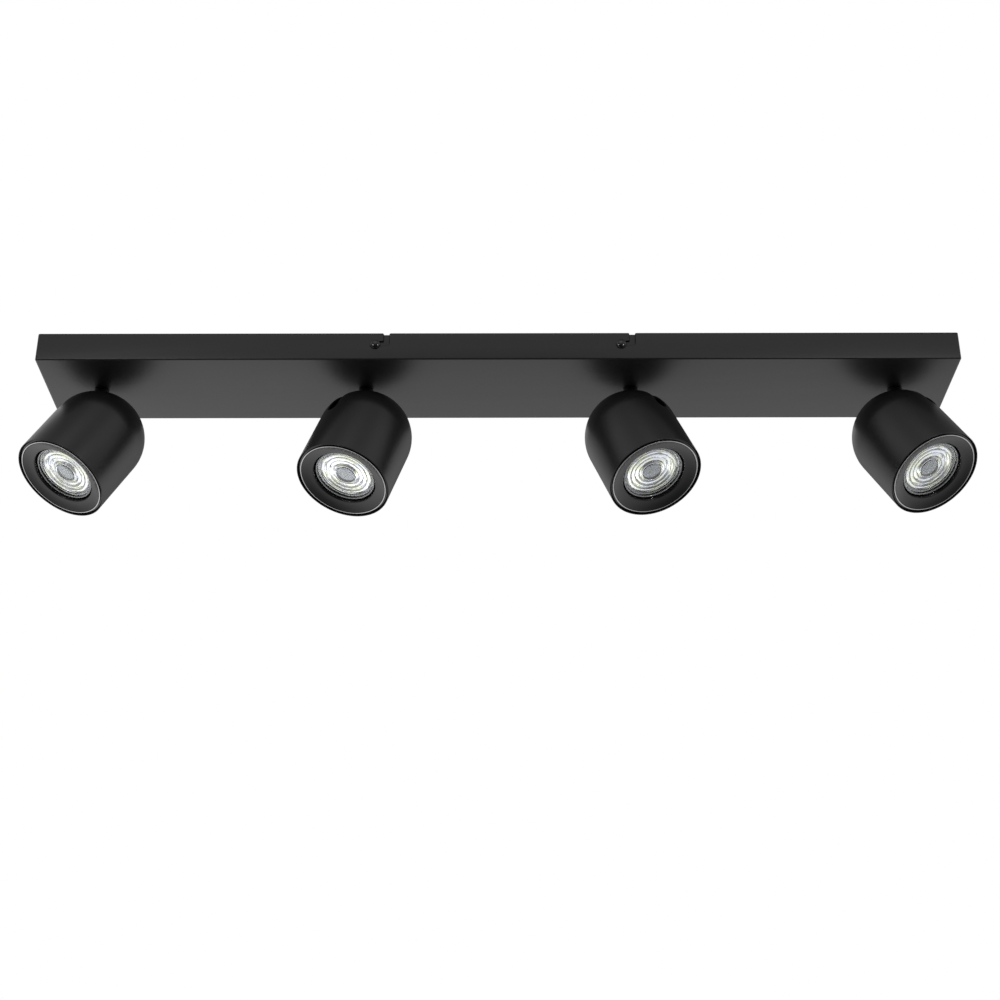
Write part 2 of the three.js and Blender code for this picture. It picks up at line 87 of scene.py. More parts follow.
# ---- bracket and grommet ----
BRACKET_SHEET = 1.2 * MM
BRACKET_BEND = 2.3 * MM
CEILING_SLOT_X = 75 * MM
CEILING_SLOT_LENGTH = 18 * MM
CEILING_SLOT_WIDTH = 5.5 * MM
SIDE_BORE_RADIUS = 2.3 * MM
CABLE_HOLE_RADIUS = 10 * MM
GROMMET_BORE = 7.0 * MM
GROMMET_LIP = 2.0 * MM
GROMMET_LIP_REACH = 2.8 * MM  # how far the lip stands out from the spigot
GROMMET_ROUND = 0.5 * MM

# ---- terminal block ----
TERMINAL_POLES = 3
TERMINAL_PITCH = 10.5 * MM
TERMINAL_PORT = 2.0 * MM
TERMINAL_WELL = 2.6 * MM
TERMINAL_WELL_DEPTH = 4.0 * MM
TERMINAL_NOTCH = 1.4 * MM     # width of the gap between two poles
TERMINAL_ROUND = 0.5 * MM
TUBE_GAP = 0.1 * MM           # from the port to the tube in it
TUBE_INNER_GAP = 0.5 * MM     # from the port to the tube's bore
TUBE_INSET = 1.5 * MM
GRUB_RADIUS = 1.9 * MM
GRUB_SINK = 1.2 * MM          # how far the screw's head lies inside its well
GRUB_END_GAP = 0.2 * MM
GRUB_ROUND = 0.25 * MM
DRIVER_SLOT = (0.6 * MM, 1.4 * MM)

# ---- screws, studs and nuts ----
THREAD_PITCH = 1.0 * MM
THREAD_DEPTH = 0.45 * MM
THREAD_CREST = (0.35, 0.5)    # where the crest starts and ends, in turns
THREAD_ROOT = 0.9
HEX_LEAD = 0.6                # height of a turned-off corner, over how far it stands out
HEX_NARROW = 0.97
HEX_WIDE = 1.01
M4_RADIUS = 2.0 * MM
M4_NUT_CORNER = 7 / math.sqrt(3) * MM
M4_NUT_HEIGHT = 3.2 * MM      # with its washer
M4_WASHER = 0.6 * MM
M4_WASHER_RADIUS = 3.9 * MM
SCREW_RIM = 0.25              # upright rim of a domed head, as a share of its height
SCREW_RINGS = 14
SCREW_ROUND = 0.2 * MM

# ---- stem parts ----
NUT_CORNER = 14 / math.sqrt(3) * MM
NUT_FLANGE = 1.6 * MM
NUT_FLANGE_RADIUS = 9.5 * MM
NUT_FLANGE_ROUND = 0.4 * MM
FINGER_WIDTH = 1.9 * MM
FINGER_LENGTH = 8 * MM
COLLAR_GROOVE = 0.7 * MM
COLLAR_GROOVE_PLACE = 0.42    # as a share of the collar's height
COLLAR_WAIST = 0.12 * MM      # how much slimmer the collar is above its groove
COLLAR_FOOT_GAP = 0.5 * MM
COLLAR_TOP_ROUND = 0.25 * MM
COLLAR_LIP_ROUND = 0.18 * MM
COLLAR_FOOT_ROUND = 0.2 * MM

# ---- head ----
HOUSING_WALL = 1.1 * MM
MOUTH_EDGE = 0.45 * MM        # what is left of the wall at the flared mouth
MOUTH_FLARE = 1.6 * MM
MOUTH_ROUND = 0.8 * MOUTH_EDGE
SLOT_SIDE_GAP = 0.4 * MM
BEZEL_BEAD = 0.6 * MM         # radius of the raised bead round the lip
BEZEL_BEAD_END = -172         # degrees round the bead, from its outer side
BEZEL_BEAD_STEPS = 14
BEZEL_SHOULDER = 1.0 * MM     # from the skirt in to the bead
BEZEL_SHOULDER_FALL = 0.1 * MM
BEZEL_DROP = 1.6 * MM         # how far the shoulder lies behind the bead
BEZEL_CONE_DEPTH = 3.3 * MM
BEZEL_BAFFLE = 3.5 * MM       # height of the baffle behind the cone
BEZEL_PLATE = 1.3 * MM
BEZEL_WALL = 1.2 * MM         # of the baffle and the skirt
BEZEL_OPENING_ROUND = 0.8 * MM
DISH_EDGE = 0.3 * MM          # where the dish starts, in from the bead and behind its crest
DISH_HOLLOW = -0.35 * MM      # bow of the dish between its rims
DISH_STEPS = 8

# ---- lamp ----
LAMP_WALL = 1.3 * MM
LAMP_NECK = 13.6 * MM
LAMP_RIM_LENGTH = 3.5 * MM
LAMP_OUTER_ROUND = 0.35 * MM
LAMP_INNER_ROUND = 0.3 * MM
BOWL_STEPS = 20
FROST_DEPTH = 0.15 * MM
LENS_DOME_RADIUS = 8.4 * MM
LENS_DOME_RISE = 0.7 * MM
LENS_DOME_STEPS = 8
LENS_GROOVE = 0.4 * MM
LENS_GROOVE_START = 0.3 * MM  # from the dome to the groove's floor
LENS_GROOVE_END = 1.2 * MM    # from the dome to the first ring
LENS_RIDGED_RADIUS = 20.5 * MM
LENS_RIDGES = 4
LENS_RIDGE_HEIGHT = 0.16 * MM
LENS_RIM_STEP = 0.4 * MM
LENS_RIM_ROUND = 0.3 * MM
LENS_THICKNESS = 1.9 * MM
RIPPLE_STEPS = 8
REFLECTOR_LENS_GAP = 0.1 * MM
REFLECTOR_DEPTH = 1.6 * MM
REFLECTOR_BACK = 2 * MM
REFLECTOR_EYE = 7.4 * MM      # radius of the opening round the disc
REFLECTOR_BEAD = 1.1 * MM     # radius of the bead round the eye
REFLECTOR_GAP = 0.4 * MM
REFLECTOR_RINGS = 3
REFLECTOR_RING_HEIGHT = 0.6 * MM
REFLECTOR_TOOTHED = 20.6 * MM
REFLECTOR_TOOTH_HEIGHT = 0.12 * MM
REFLECTOR_RIM_GAP = 0.3 * MM
DISC_LIFT = 0.3 * MM
DISC_SIDE_GAP = 0.1 * MM
DISC_BACK_GAP = 0.05 * MM
DISC_SWELL = 0.9 * MM
CHIP_RADIUS = 4.6 * MM
CHIP_SWELL = 0.36 * MM
CHIP_PROUD = 0.02 * MM
PIN_CAP_DEPTH = 7.5 * MM      # from the ceramic cap to the ends of the pins
PIN_PLACE = 5 * MM            # of each pin, from the lamp's axis
PIN_RADIUS = 1.6 * MM
PIN_ROOT = 2.7 * MM
PIN_HEAD_RADIUS = 2.5 * MM
PIN_HEAD_HEIGHT = 2.5 * MM
PIN_HOLE_RADIUS = 3.2 * MM
PIN_HOLE_DEPTH = 10 * MM
CERAMIC_ROUND = 0.6 * MM

# ---- the studio ----
CAMERA_LENS = 63.585
CAMERA_SENSOR = 36
CAMERA_PLACE = (0.00131, -1.2652, -0.78079)
CAMERA_TURN = (117.2761, -0.0852)  # degrees up from straight down, and about the line of sight
FLOOR_SIZE = 6
FLOOR_PLACE = (0, 4.0, -2.2)
ROOM_BASE = 0.01
ROOM_LOBES = {                # azimuth and elevation of the middle in degrees, tightness, strength
    "backdrop": (68, -40, 6, 0.76),
    "backdrop_left": (128, -40, 6, 0.88),
    "right_wall": (28, -3, 6, 1.05),
    "left_wall": (138, -8, 6, 0.72),
    "left_below": (176, -40, 10, 0.8),
    "right_below": (4, -40, 10, 0.5),
    "behind_above": (112, 52, 9, 1.3),
    "front_above": (268, 41, 15, 0.9),
    "front_left": (204, 28, 8, 0.8),
    "front_right": (332, 28, 8, 0.75),
}
GLASS_BASE = 0.06             # the room as it is seen through the lamps' glass
GLASS_GAIN = 0.98
GLASS_GLINT = (90, -67, 16, 2.4)
SOFTBOX_SIZE = (0.2, 0.32)
SOFTBOX_POWER = 3.8
SOFTBOX_PLACE = (0.84, -1.64, 0.2)
SOFTBOX_TARGET = (0, 0, -0.05)

Reach = namedtuple("Reach", "inner outer low high")


# ---- places and sizes read from the frame ----

def joint(name):
    return next(j for j in frame["joints"] if j["name"] == name)


def swivel_place(number):
    """Matrix of a stem's own frame: axis on the stem, +X the way its head leans."""
    x = joint(f"swivel_{number}")["pos_m"][0]
    axis = joint(f"tilt_{number}")["axis"]
    azimuth = math.atan2(axis[0], -axis[1])
    return Matrix.Translation((x, 0, 0)) @ Matrix.Rotation(azimuth, 4, "Z")


def head_place(number):
    """Matrix of a head's own frame: origin at the centre of its round back, light towards -Z."""
    tilt_joint = joint(f"tilt_{number}")
    tilt = math.radians(-tilt_joint["range_deg"][0])
    lift = Matrix.Translation((0, 0, tilt_joint["pos_m"][2]))
    return swivel_place(number) @ lift @ Matrix.Rotation(-tilt, 4, "Y")


def reach(node_name, place):
    """How far a CAD node reaches from its own axis and along it."""
    back = place.inverted()
    points = [back @ vertex.co for vertex in frame["nodes"][node_name].data.vertices]
    distances = [math.hypot(point.x, point.y) for point in points]
    heights = [point.z for point in points]
    return Reach(min(distances), max(distances), min(heights), max(heights))


def box_centre(node_name):
    low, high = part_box(node_name)
    return (low + high) / 2


# ---- profiles, as points (distance from the axis, height) ----

def half_round(radius, height, start, end, steps):
    """Points on an arc about a centre at that height, sideways from it, angles in degrees from level."""
    angles = [math.radians(start + (end - start) * i / steps) for i in range(steps + 1)]
    return [(radius * math.cos(a), height + radius * math.sin(a)) for a in angles]


def dome_arc(radius, start, end):
    """Points on an arc about the origin, none of them past the axis."""
    return [(max(x, 0.0), z) for x, z in half_round(radius, 0.0, start, end, DOME_RINGS)]


def bowl(rim, foot, low, high):
    """Points of a bowl from its rim at low to its foot at high."""
    shares = [i / BOWL_STEPS for i in range(BOWL_STEPS + 1)]
    return [(foot + (rim - foot) * math.cos(s * math.pi / 2), low + (high - low) * s) for s in shares]


def shallow_dome(radius, swell, low, steps):
    """Points of a dome towards -Z, from its lowest point on the axis out to its edge."""
    ball = (radius ** 2 + swell ** 2) / (2 * swell)
    distances = [radius * i / steps for i in range(steps + 1)]
    return [(d, low + ball - math.sqrt(ball ** 2 - d ** 2)) for d in distances]


def ripples(start, end, count, height, z_start, z_end):
    """Points of count bulges towards -Z, side by side from one distance to another."""
    points = []
    for i in range(count * RIPPLE_STEPS + 1):
        along = i / (count * RIPPLE_STEPS)
        swell = math.sin(math.pi * (i % RIPPLE_STEPS) / RIPPLE_STEPS)
        level = z_start + (z_end - z_start) * along
        points.append((start + (end - start) * along, level - height * swell))
    return points


def threaded(radius, low, high):
    """Outside profile of a fine thread from low to high."""
    turns = max(2, round((high - low) / THREAD_PITCH))
    step = (high - low) / turns
    root = radius - THREAD_DEPTH
    points = [(root, low)]
    for i in range(turns):
        points += [(radius, low + (i + share) * step) for share in THREAD_CREST]
        points.append((root, low + (i + THREAD_ROOT) * step))
    points[-1] = (root, high)
    return points


# ---- modelling helpers ----

def cleaned(bm):
    bmesh.ops.remove_doubles(bm, verts=bm.verts[:], dist=TOUCH)
    bmesh.ops.recalc_face_normals(bm, faces=bm.faces[:])
    return bm


def moved(bm, place):
    bmesh.ops.transform(bm, matrix=place, verts=bm.verts[:])
    return bm


def shifted(bm, x, y, z):
    return moved(bm, Matrix.Translation((x, y, z)))


def spun(bm, geom, axis, angle, steps, **options):
    bmesh.ops.spin(
        bm, geom=geom, axis=axis, cent=(0, 0, 0), dvec=(0, 0, 0), angle=angle, steps=steps, **options,
    )
    return cleaned(bm)


def turned(profile, steps):
    """A profile of (distance, height) points spun about Z. One that leaves the axis is closed on itself."""
    bm = bmesh.new()
    points = [bm.verts.new((distance, 0, height)) for distance, height in profile]
    pairs = list(zip(points, points[1:]))
    on_axis = max(profile[0][0], profile[-1][0]) < TOUCH
    if not on_axis:
        pairs.append((points[-1], points[0]))
    lines = [bm.edges.new(pair) for pair in pairs]
    return spun(bm, points + lines, (0, 0, 1), 2 * math.pi, steps, use_merge=True)


def rod(radius, low, high, steps=SMALL_STEPS):
    return turned([(0, low), (radius, low), (radius, high), (0, high)], steps)


def block(size, middle):
    bm = bmesh.new()
    place = Matrix.Translation(middle) @ Matrix.Diagonal((*size, 1))
    bmesh.ops.create_cube(bm, size=1, matrix=place)
    return bm


def pulled(bm, grown, along):
    """Moves what an extrusion has grown."""
    points = [item for item in grown["geom"] if isinstance(item, bmesh.types.BMVert)]
    bmesh.ops.translate(bm, verts=points, vec=along)


def extruded(points, depth):
    """A flat outline of points, pulled along depth to a closed solid."""
    bm = bmesh.new()
    face = bm.faces.new([bm.verts.new(point) for point in points])
    pulled(bm, bmesh.ops.extrude_face_region(bm, geom=[face]), depth)
    return cleaned(bm)


def slot_outline(length, width):
    """Outline in XY of a slot with round ends along X."""
    half, end = width / 2, (length - width) / 2
    right = [(-90 + 180 * i / ARC_STEPS, end) for i in range(ARC_STEPS + 1)]
    left = [(90 + 180 * i / ARC_STEPS, -end) for i in range(ARC_STEPS + 1)]
    return [
        (x + half * math.cos(math.radians(a)), half * math.sin(math.radians(a)), 0)
        for a, x in right + left
    ]


def round_edges(bm, chosen, size, segments=3):
    """Rounds the edges for which chosen(edge) is true."""
    edges = [edge for edge in bm.edges if chosen(edge)]
    bmesh.ops.bevel(
        bm, geom=edges, offset=size, offset_type="OFFSET", affect="EDGES", segments=segments,
        profile=0.5, material=-1, clamp_overlap=True,
    )


def round_ring(bm, distance, height, size, segments=3):
    """Rounds the ring edge at a distance from the axis and a height."""
    def on_ring(vertex):
        off_side = abs(math.hypot(vertex.co.x, vertex.co.y) - distance)
        return off_side < 5 * TOUCH and abs(vertex.co.z - height) < 5 * TOUCH

    round_edges(bm, lambda edge: all(on_ring(vertex) for vertex in edge.verts), size, segments)


def add_shape(bm, other):
    """Adds another shape's faces to bm."""
    mesh = bpy.data.meshes.new("shape")
    other.to_mesh(mesh)
    other.free()
    bm.from_mesh(mesh)
    bpy.data.meshes.remove(mesh)


def loose_object(name, bm):
    mesh = bpy.data.meshes.new(name)
    bm.to_mesh(mesh)
    bm.free()
    thing = bpy.data.objects.new(name, mesh)
    bpy.context.scene.collection.objects.link(thing)
    return thing


def carved(bm, tools, operation="DIFFERENCE"):
    """The shape with each tool's shape taken out, added (UNION) or kept alone (INTERSECT)."""
    blank = loose_object("blank", bm)
    others = [loose_object("tool", tool) for tool in tools]
    for other in others:
        modifier = blank.modifiers.new("carve", "BOOLEAN")
        modifier.object = other
        modifier.operation = operation
        modifier.solver = "EXACT"
    result = bmesh.new()
    result.from_object(blank, bpy.context.evaluated_depsgraph_get())
    for thing in [blank, *others]:
        bpy.data.meshes.remove(thing.data)
    return cleaned(result)


def hex_body(corner, low, high):
    """Hexagon prism with the corners turned off at both ends."""
    flats = corner * math.cos(math.pi / 6)
    lead = (corner - flats) * HEX_LEAD
    narrow, wide = flats * HEX_NARROW, corner * HEX_WIDE
    prism = turned([(0, low), (corner, low), (corner, high), (0, high)], 6)
    barrel = turned([
        (0, low), (narrow, low), (wide, low + lead), (wide, high - lead), (narrow, high), (0, high),
    ], SMALL_STEPS)
    return carved(prism, [barrel], "INTERSECT")


def piece(name, bm, body, slot, *stands_for):
    """Makes a piece in the finish of the given slot and rides it on its body. Any CAD nodes that it stands
    for are hidden.
    """
    for face in bm.faces:
        face.smooth = True
    for edge in bm.edges:
        edge.smooth = edge.is_manifold and edge.calc_face_angle() < SHARP
    made = loose_object(name, bm)
    made.data.materials.append(FINISHES[slot])
    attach(made, body)
    if stands_for:
        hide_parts(*stands_for)
    return made


def refinish(made, finish_name, place, chosen, size):
    """Gives a second finish to the faces for which chosen(middle, size) is true in the frame of a place."""
    made.data.materials.append(FINISHES[finish_name])
    back = place.inverted()
    for polygon in made.data.polygons:
        if chosen(back @ polygon.center, size):
            polygon.material_index = 1


def repaint(node_name, finish_name):
    """Gives a CAD node that stays its finish."""
    mesh = frame["nodes"][node_name].data
    mesh.materials.clear()
    mesh.materials.append(FINISHES[finish_name])


# ---- shader nodes ----

def node(tree, kind, links=None, **settings):
    """A node with settings as its properties and links as {input: value or output socket}."""
    made = tree.nodes.new(kind)
    for key, value in settings.items():
        setattr(made, key, value)
    for key, value in (links or {}).items():
        if isinstance(value, bpy.types.NodeSocket):
            tree.links.new(value, made.inputs[key])
        else:
            made.inputs[key].default_value = value
    return made


def maths(tree, operation, *values):
    return node(tree, "ShaderNodeMath", dict(enumerate(values)), operation=operation).outputs["Value"]


def vector_maths(tree, operation, *values, output="Vector"):
    links = dict(enumerate(values))
    return node(tree, "ShaderNodeVectorMath", links, operation=operation).outputs[output]


def spread(tree, value, low, high, start=0.0, end=1.0):
    """Sends a value between start and end to the range from low to high."""
    return node(tree, "ShaderNodeMapRange", {
        "Value": value, "From Min": start, "From Max": end, "To Min": low, "To Max": high,
    }).outputs["Result"]


def mixed(tree, share, first, second):
    """A colour between two others."""
    return node(tree, "ShaderNodeMix", {0: share, 6: first, 7: second}, data_type="RGBA").outputs[2]


def varied(tree, colour, noise, low, high):
    """A colour made from low to high times as bright by a noise."""
    return node(tree, "ShaderNodeHueSaturation", {
        "Color": colour, "Value": spread(tree, noise, low, high),
    }).outputs["Color"]


def drifting(tree, value, noise, most):
    """A value that a noise moves up or down by as much as most."""
    return maths(tree, "ADD", value, spread(tree, noise, -most, most))


def object_noise(tree, scale, detail, stretch=None):
    """Noise on Object coordinates, stretched where stretch is given."""
    place = node(tree, "ShaderNodeTexCoord").outputs["Object"]
    if stretch:
        place = node(tree, "ShaderNodeMapping", {"Vector": place, "Scale": stretch}).outputs["Vector"]
    links = {"Vector": place, "Scale": scale, "Detail": detail, "Roughness": 0.5}
    return node(tree, "ShaderNodeTexNoise", links).outputs["Fac"]


# ---- shader node groups ----

def new_group(name, inputs, outputs):
    """A group, its inner sockets, and its outer ones. Inputs are {label: value}, outputs {label: kind}."""
    group = bpy.data.node_groups.new(name, "ShaderNodeTree")
    for label, value in inputs.items():
        kind = {3: "Vector", 4: "Color"}[len(value)] if isinstance(value, tuple) else "Float"
        socket = group.interface.new_socket(label, in_out="INPUT", socket_type=f"NodeSocket{kind}")
        socket.default_value = value
    for label, kind in outputs.items():
        group.interface.new_socket(label, in_out="OUTPUT", socket_type=f"NodeSocket{kind}")
    return group, group.nodes.new("NodeGroupInput").outputs, group.nodes.new("NodeGroupOutput").inputs


def surface_group(name, inputs):
    return new_group(name, inputs, {"Color": "Color", "Roughness": "Float", "Normal": "Vector"})


def put_out(group, outside, colour, gloss, height, depth):
    """Links a surface's colour, its roughness and the normal of its relief to the group's outputs."""
    relief = node(group, "ShaderNodeBump", {"Height": height, "Distance": depth, "Strength": 1.0})
    group.links.new(colour, outside["Color"])
    group.links.new(gloss, outside["Roughness"])
    group.links.new(relief.outputs["Normal"], outside["Normal"])
    return group


def powder_coat_group():
    """Baked powder: a fine orange peel over the sheet, and a slow drift of tone and gloss."""
    group, inside, outside = surface_group("powder_coat", {
        "Paint": (0.02, 0.02, 0.02, 1), "Gloss": 0.5, "Grain Scale": 2600.0, "Grain Depth": 0.00002,
    })
    grain = object_noise(group, inside["Grain Scale"], detail=3.0)
    peel = object_noise(group, 420.0, detail=2.0)
    drift = object_noise(group, 9.0, detail=2.0)
    tone = varied(group, inside["Paint"], drift, 0.9, 1.1)
    colour = varied(group, tone, grain, 0.86, 1.14)
    gloss = drifting(group, inside["Gloss"], drift, 0.035)
    return put_out(group, outside, colour, gloss, maths(group, "ADD", grain, peel), inside["Grain Depth"])


def plated_group():
    """Plating: fine drawn lines one way, and a slow drift of tone and gloss."""
    group, inside, outside = surface_group("plated_metal", {
        "Metal": (0.5, 0.5, 0.5, 1), "Gloss": 0.3, "Line Depth": 0.00001,
    })
    lines = object_noise(group, 300.0, detail=4.0, stretch=(0.06, 6.0, 6.0))
    drift = object_noise(group, 60.0, detail=3.0)
    colour = varied(group, inside["Metal"], drift, 0.85, 1.12)
    gloss = drifting(group, inside["Gloss"], lines, 0.06)
    return put_out(group, outside, colour, gloss, lines, inside["Line Depth"])


def moulded_group():
    """Moulded or fired stuff: soft mottling and a fine matte skin."""
    group, inside, outside = surface_group("moulded_skin", {
        "Stuff": (0.8, 0.8, 0.8, 1), "Gloss": 0.5, "Skin Scale": 900.0, "Skin Depth": 0.00002,
    })
    skin = object_noise(group, inside["Skin Scale"], detail=3.0)
    mottle = object_noise(group, 70.0, detail=3.0)
    colour = varied(group, inside["Stuff"], mottle, 0.93, 1.05)
    gloss = drifting(group, inside["Gloss"], mottle, 0.05)
    return put_out(group, outside, colour, gloss, skin, inside["Skin Depth"])


def silvered_group():
    """Silvering seen through pressed glass: green-gold or pale violet, with painted ring highlights, painted
    glints and a painted dark rim.
    """
    group, inside, outside = surface_group("silvered_glass", {
        "Warm": (1, 1, 0.8, 1), "Cool": (0.8, 0.8, 1, 1), "Painted Shade": (0.05, 0.05, 0.06, 1),
        "Gloss": 0.15, "Ripple Depth": 0.0001,
    })
    face = node(group, "ShaderNodeUVMap", uv_map="lamp_face").outputs["UV"]
    # painted highlights: the rings and the glints below brighten and darken the silver's colour in arcs,
    # standing for reflections
    rings = node(group, "ShaderNodeTexWave", {
        "Vector": face, "Scale": 2.0, "Distortion": 2.2, "Detail": 3.0, "Detail Scale": 2.0,
    }, wave_type="RINGS", rings_direction="Z").outputs["Fac"]
    outwards = vector_maths(group, "NORMALIZE", face)
    distance = vector_maths(group, "LENGTH", face, output="Value")
    climb = node(group, "ShaderNodeCombineXYZ", {"Z": spread(group, distance, 0, 5.5)}).outputs["Vector"]
    glints = node(group, "ShaderNodeTexNoise", {
        "Vector": vector_maths(group, "ADD", outwards, climb),
        "Scale": 1.9, "Detail": 3.0, "Roughness": 0.55,
    }).outputs["Fac"]
    patches = node(group, "ShaderNodeTexNoise", {"Vector": face, "Scale": 2.2, "Detail": 1.0}).outputs["Fac"]
    side = spread(group, patches, 0, 1, start=0.4, end=0.6)
    silver = mixed(group, side, inside["Warm"], inside["Cool"])
    lit = spread(group, maths(group, "ADD", rings, glints), 0.26, 1.0, start=0.55, end=1.15)
    # painted shade: the silver's colour darkens to a dark ring near the rim
    rim = spread(group, distance, 1.0, 0.15, start=0.89, end=0.94)
    ripple = object_noise(group, 200.0, detail=1.0)
    # where the painted highlights are dim or the rim is dark, the colour falls to the painted shade colour
    colour = mixed(group, maths(group, "MULTIPLY", lit, rim), inside["Painted Shade"], silver)
    gloss = drifting(group, inside["Gloss"], ripple, 0.05)
    return put_out(group, outside, colour, gloss, ripple, inside["Ripple Depth"])


POWDER = powder_coat_group()
PLATED = plated_group()
MOULDED = moulded_group()
SILVERED = silvered_group()


# ---- finishes ----

FINISHES = {}


def finish(name, group, values, **constants):
    """Keeps a finish whose colour, roughness and normal come from a group, with constants on the shader."""
    material = bpy.data.materials.new(name)
    material.use_nodes = True
    tree = material.node_tree
    shader = tree.nodes["Principled BSDF"]
    for key, value in constants.items():
        shader.inputs[key.replace("_", " ")].default_value = value
    texture = node(tree, "ShaderNodeGroup", values, node_tree=group)
    tree.links.new(texture.outputs["Color"], shader.inputs["Base Color"])
    tree.links.new(texture.outputs["Roughness"], shader.inputs["Roughness"])
    tree.links.new(texture.outputs["Normal"], shader.inputs["Normal"])
    FINISHES[name] = material


def dull_at_a_glance(name, start, end):
    """Takes the gloss off a finish where it is seen edge on."""
    tree = FINISHES[name].node_tree
    facing = node(tree, "ShaderNodeLayerWeight").outputs["Facing"]
    level = spread(tree, facing, 0.5, 0.05, start, end)
    tree.links.new(level, tree.nodes["Principled BSDF"].inputs["Specular IOR Level"])


def powder_coated(name, colour, gloss, depth=0.00002, **constants):
    values = {"Paint": (*colour, 1), "Gloss": gloss, "Grain Depth": depth}
    finish(name, POWDER, values, **constants)


def plated(name, colour, gloss, depth, **constants):
    finish(name, PLATED, {"Metal": (*colour, 1), "Gloss": gloss, "Line Depth": depth}, **constants)


def moulded(name, colour, gloss, depth=0.00002, scale=900.0, **constants):
    values = {"Stuff": (*colour, 1), "Gloss": gloss, "Skin Depth": depth, "Skin Scale": scale}
    finish(name, MOULDED, values, **constants)


powder_coated("canopy_paint", (0.0095, 0.0095, 0.0098), 0.38)
powder_coated("head_paint", (0.008, 0.008, 0.0082), 0.33)
dull_at_a_glance("head_paint", 0.68, 0.97)
powder_coated("bezel_paint", (0.01, 0.01, 0.0102), 0.3, 0.000012)
# painted shade: a near-black, dull finish on the walls and coined steps of the bayonet slots, where the
# narrow gap lies in shade
powder_coated("painted_slot_shade", (0.003, 0.003, 0.003), 0.85, Specular_IOR_Level=0.2)
# painted highlight: bright bare metal on the crest of the bezel's bead, so the bead shows as a light ring
plated("bead_highlight_metal", (0.42, 0.42, 0.42), 0.22, 0.000002, Metallic=1.0)
plated("black_chrome", (0.012, 0.012, 0.013), 0.08, 0.000002, IOR=1.55)
dull_at_a_glance("black_chrome", 0.4, 0.85)
plated("zinc_steel", (0.5, 0.51, 0.53), 0.34, 0.000008, Metallic=1.0)
plated("terminal_brass", (0.62, 0.45, 0.2), 0.3, 0.000006, Metallic=1.0)
moulded("white_nylon", (0.78, 0.77, 0.72), 0.45)
moulded("black_rubber", (0.02, 0.02, 0.02), 0.75)
moulded("lamp_ceramic", (0.75, 0.72, 0.65), 0.6, 0.00004)
moulded("lamp_glass", (0.86, 0.93, 0.78), 0.06, 0.00001, 200.0, Transmission_Weight=0.9, IOR=1.5)
moulded("lamp_lens", (0.97, 0.98, 0.98), 0.0, 0.000004, 260.0, Transmission_Weight=1.0, IOR=1.49)
moulded("frosted_rim", (0.62, 0.63, 0.66), 0.35, 0.00002, 700.0, Transmission_Weight=0.3, IOR=1.49)
moulded("disc_grey", (0.23, 0.24, 0.27), 0.14, 0.000002, Metallic=0.9)
moulded("chip_phosphor", (0.24, 0.25, 0.26), 0.14, 0.000002, Metallic=0.9)
# the lamp's silver takes the painted ring highlights, painted glints and painted dark rim of its group
finish("lamp_silver", SILVERED, {
    "Warm": (0.93, 0.95, 0.79, 1), "Cool": (0.88, 0.9, 0.97, 1), "Gloss": 0.12, "Ripple Depth": 0.00005,
}, Metallic=1.0)


# ---- camera, floor and light ----

def make_camera():
    """Below the bar and in front of it, looking up."""
    data = bpy.data.cameras.new("camera")
    data.lens = CAMERA_LENS
    data.sensor_width = CAMERA_SENSOR
    camera = bpy.data.objects.new("camera", data)
    up, about = (math.radians(angle) for angle in CAMERA_TURN)
    turn = Matrix.Rotation(up, 4, "X") @ Matrix.Rotation(about, 4, "Z")
    camera.matrix_world = Matrix.Translation(CAMERA_PLACE) @ turn
    bpy.context.scene.collection.objects.link(camera)
    bpy.context.scene.camera = camera


def lobe(tree, direction, azimuth, elevation, tightness, strength, total):
    """Adds a soft lobe of light about a direction to a total."""
    turn, lift = math.radians(azimuth), math.radians(elevation)
    middle = (math.cos(lift) * math.cos(turn), math.cos(lift) * math.sin(turn), math.sin(lift))
    facing = vector_maths(tree, "DOT_PRODUCT", direction, middle, output="Value")
    away = maths(tree, "SUBTRACT", facing, 1.0)
    soft = maths(tree, "EXPONENT", maths(tree, "MULTIPLY", away, tightness))
    return maths(tree, "MULTIPLY_ADD", soft, strength, total)


def studio_room_group():
    """How bright the room is in a direction, by itself and through the lamps' glass."""
    group, inside, outside = new_group(
        "studio_room", {"Direction": (0, 0, 1)}, {"Brightness": "Float", "Through Glass": "Float"},
    )
    direction = vector_maths(group, "NORMALIZE", inside["Direction"])
    total = ROOM_BASE
    for values in ROOM_LOBES.values():
        total = lobe(group, direction, *values, total)
    lifted = maths(group, "MULTIPLY_ADD", total, GLASS_GAIN, GLASS_BASE)
    group.links.new(total, outside["Brightness"])
    group.links.new(lobe(group, direction, *GLASS_GLINT, lifted), outside["Through Glass"])
    return group


def room_brightness(tree, direction):
    """White for the camera, and the studio room for every other ray."""
    room = node(tree, "ShaderNodeGroup", node_tree=STUDIO_ROOM)
    tree.links.new(direction, room.inputs["Direction"])
    path = node(tree, "ShaderNodeLightPath")
    seen = node(tree, "ShaderNodeMix", {
        "Factor": path.outputs["Is Transmission Ray"], "A": room.outputs["Brightness"],
        "B": room.outputs["Through Glass"],
    })
    return node(tree, "ShaderNodeMix", {
        "Factor": path.outputs["Is Camera Ray"], "A": seen.outputs["Result"], "B": 1.0,
    }).outputs["Result"]


def make_world():
    world = bpy.data.worlds.new("studio")
    bpy.context.scene.world = world
    world.use_nodes = True
    tree = world.node_tree
    background = tree.nodes["Background"]
    direction = node(tree, "ShaderNodeTexCoord").outputs["Generated"]
    background.inputs["Color"].default_value = (1, 1, 1, 1)
    tree.links.new(room_brightness(tree, direction), background.inputs["Strength"])


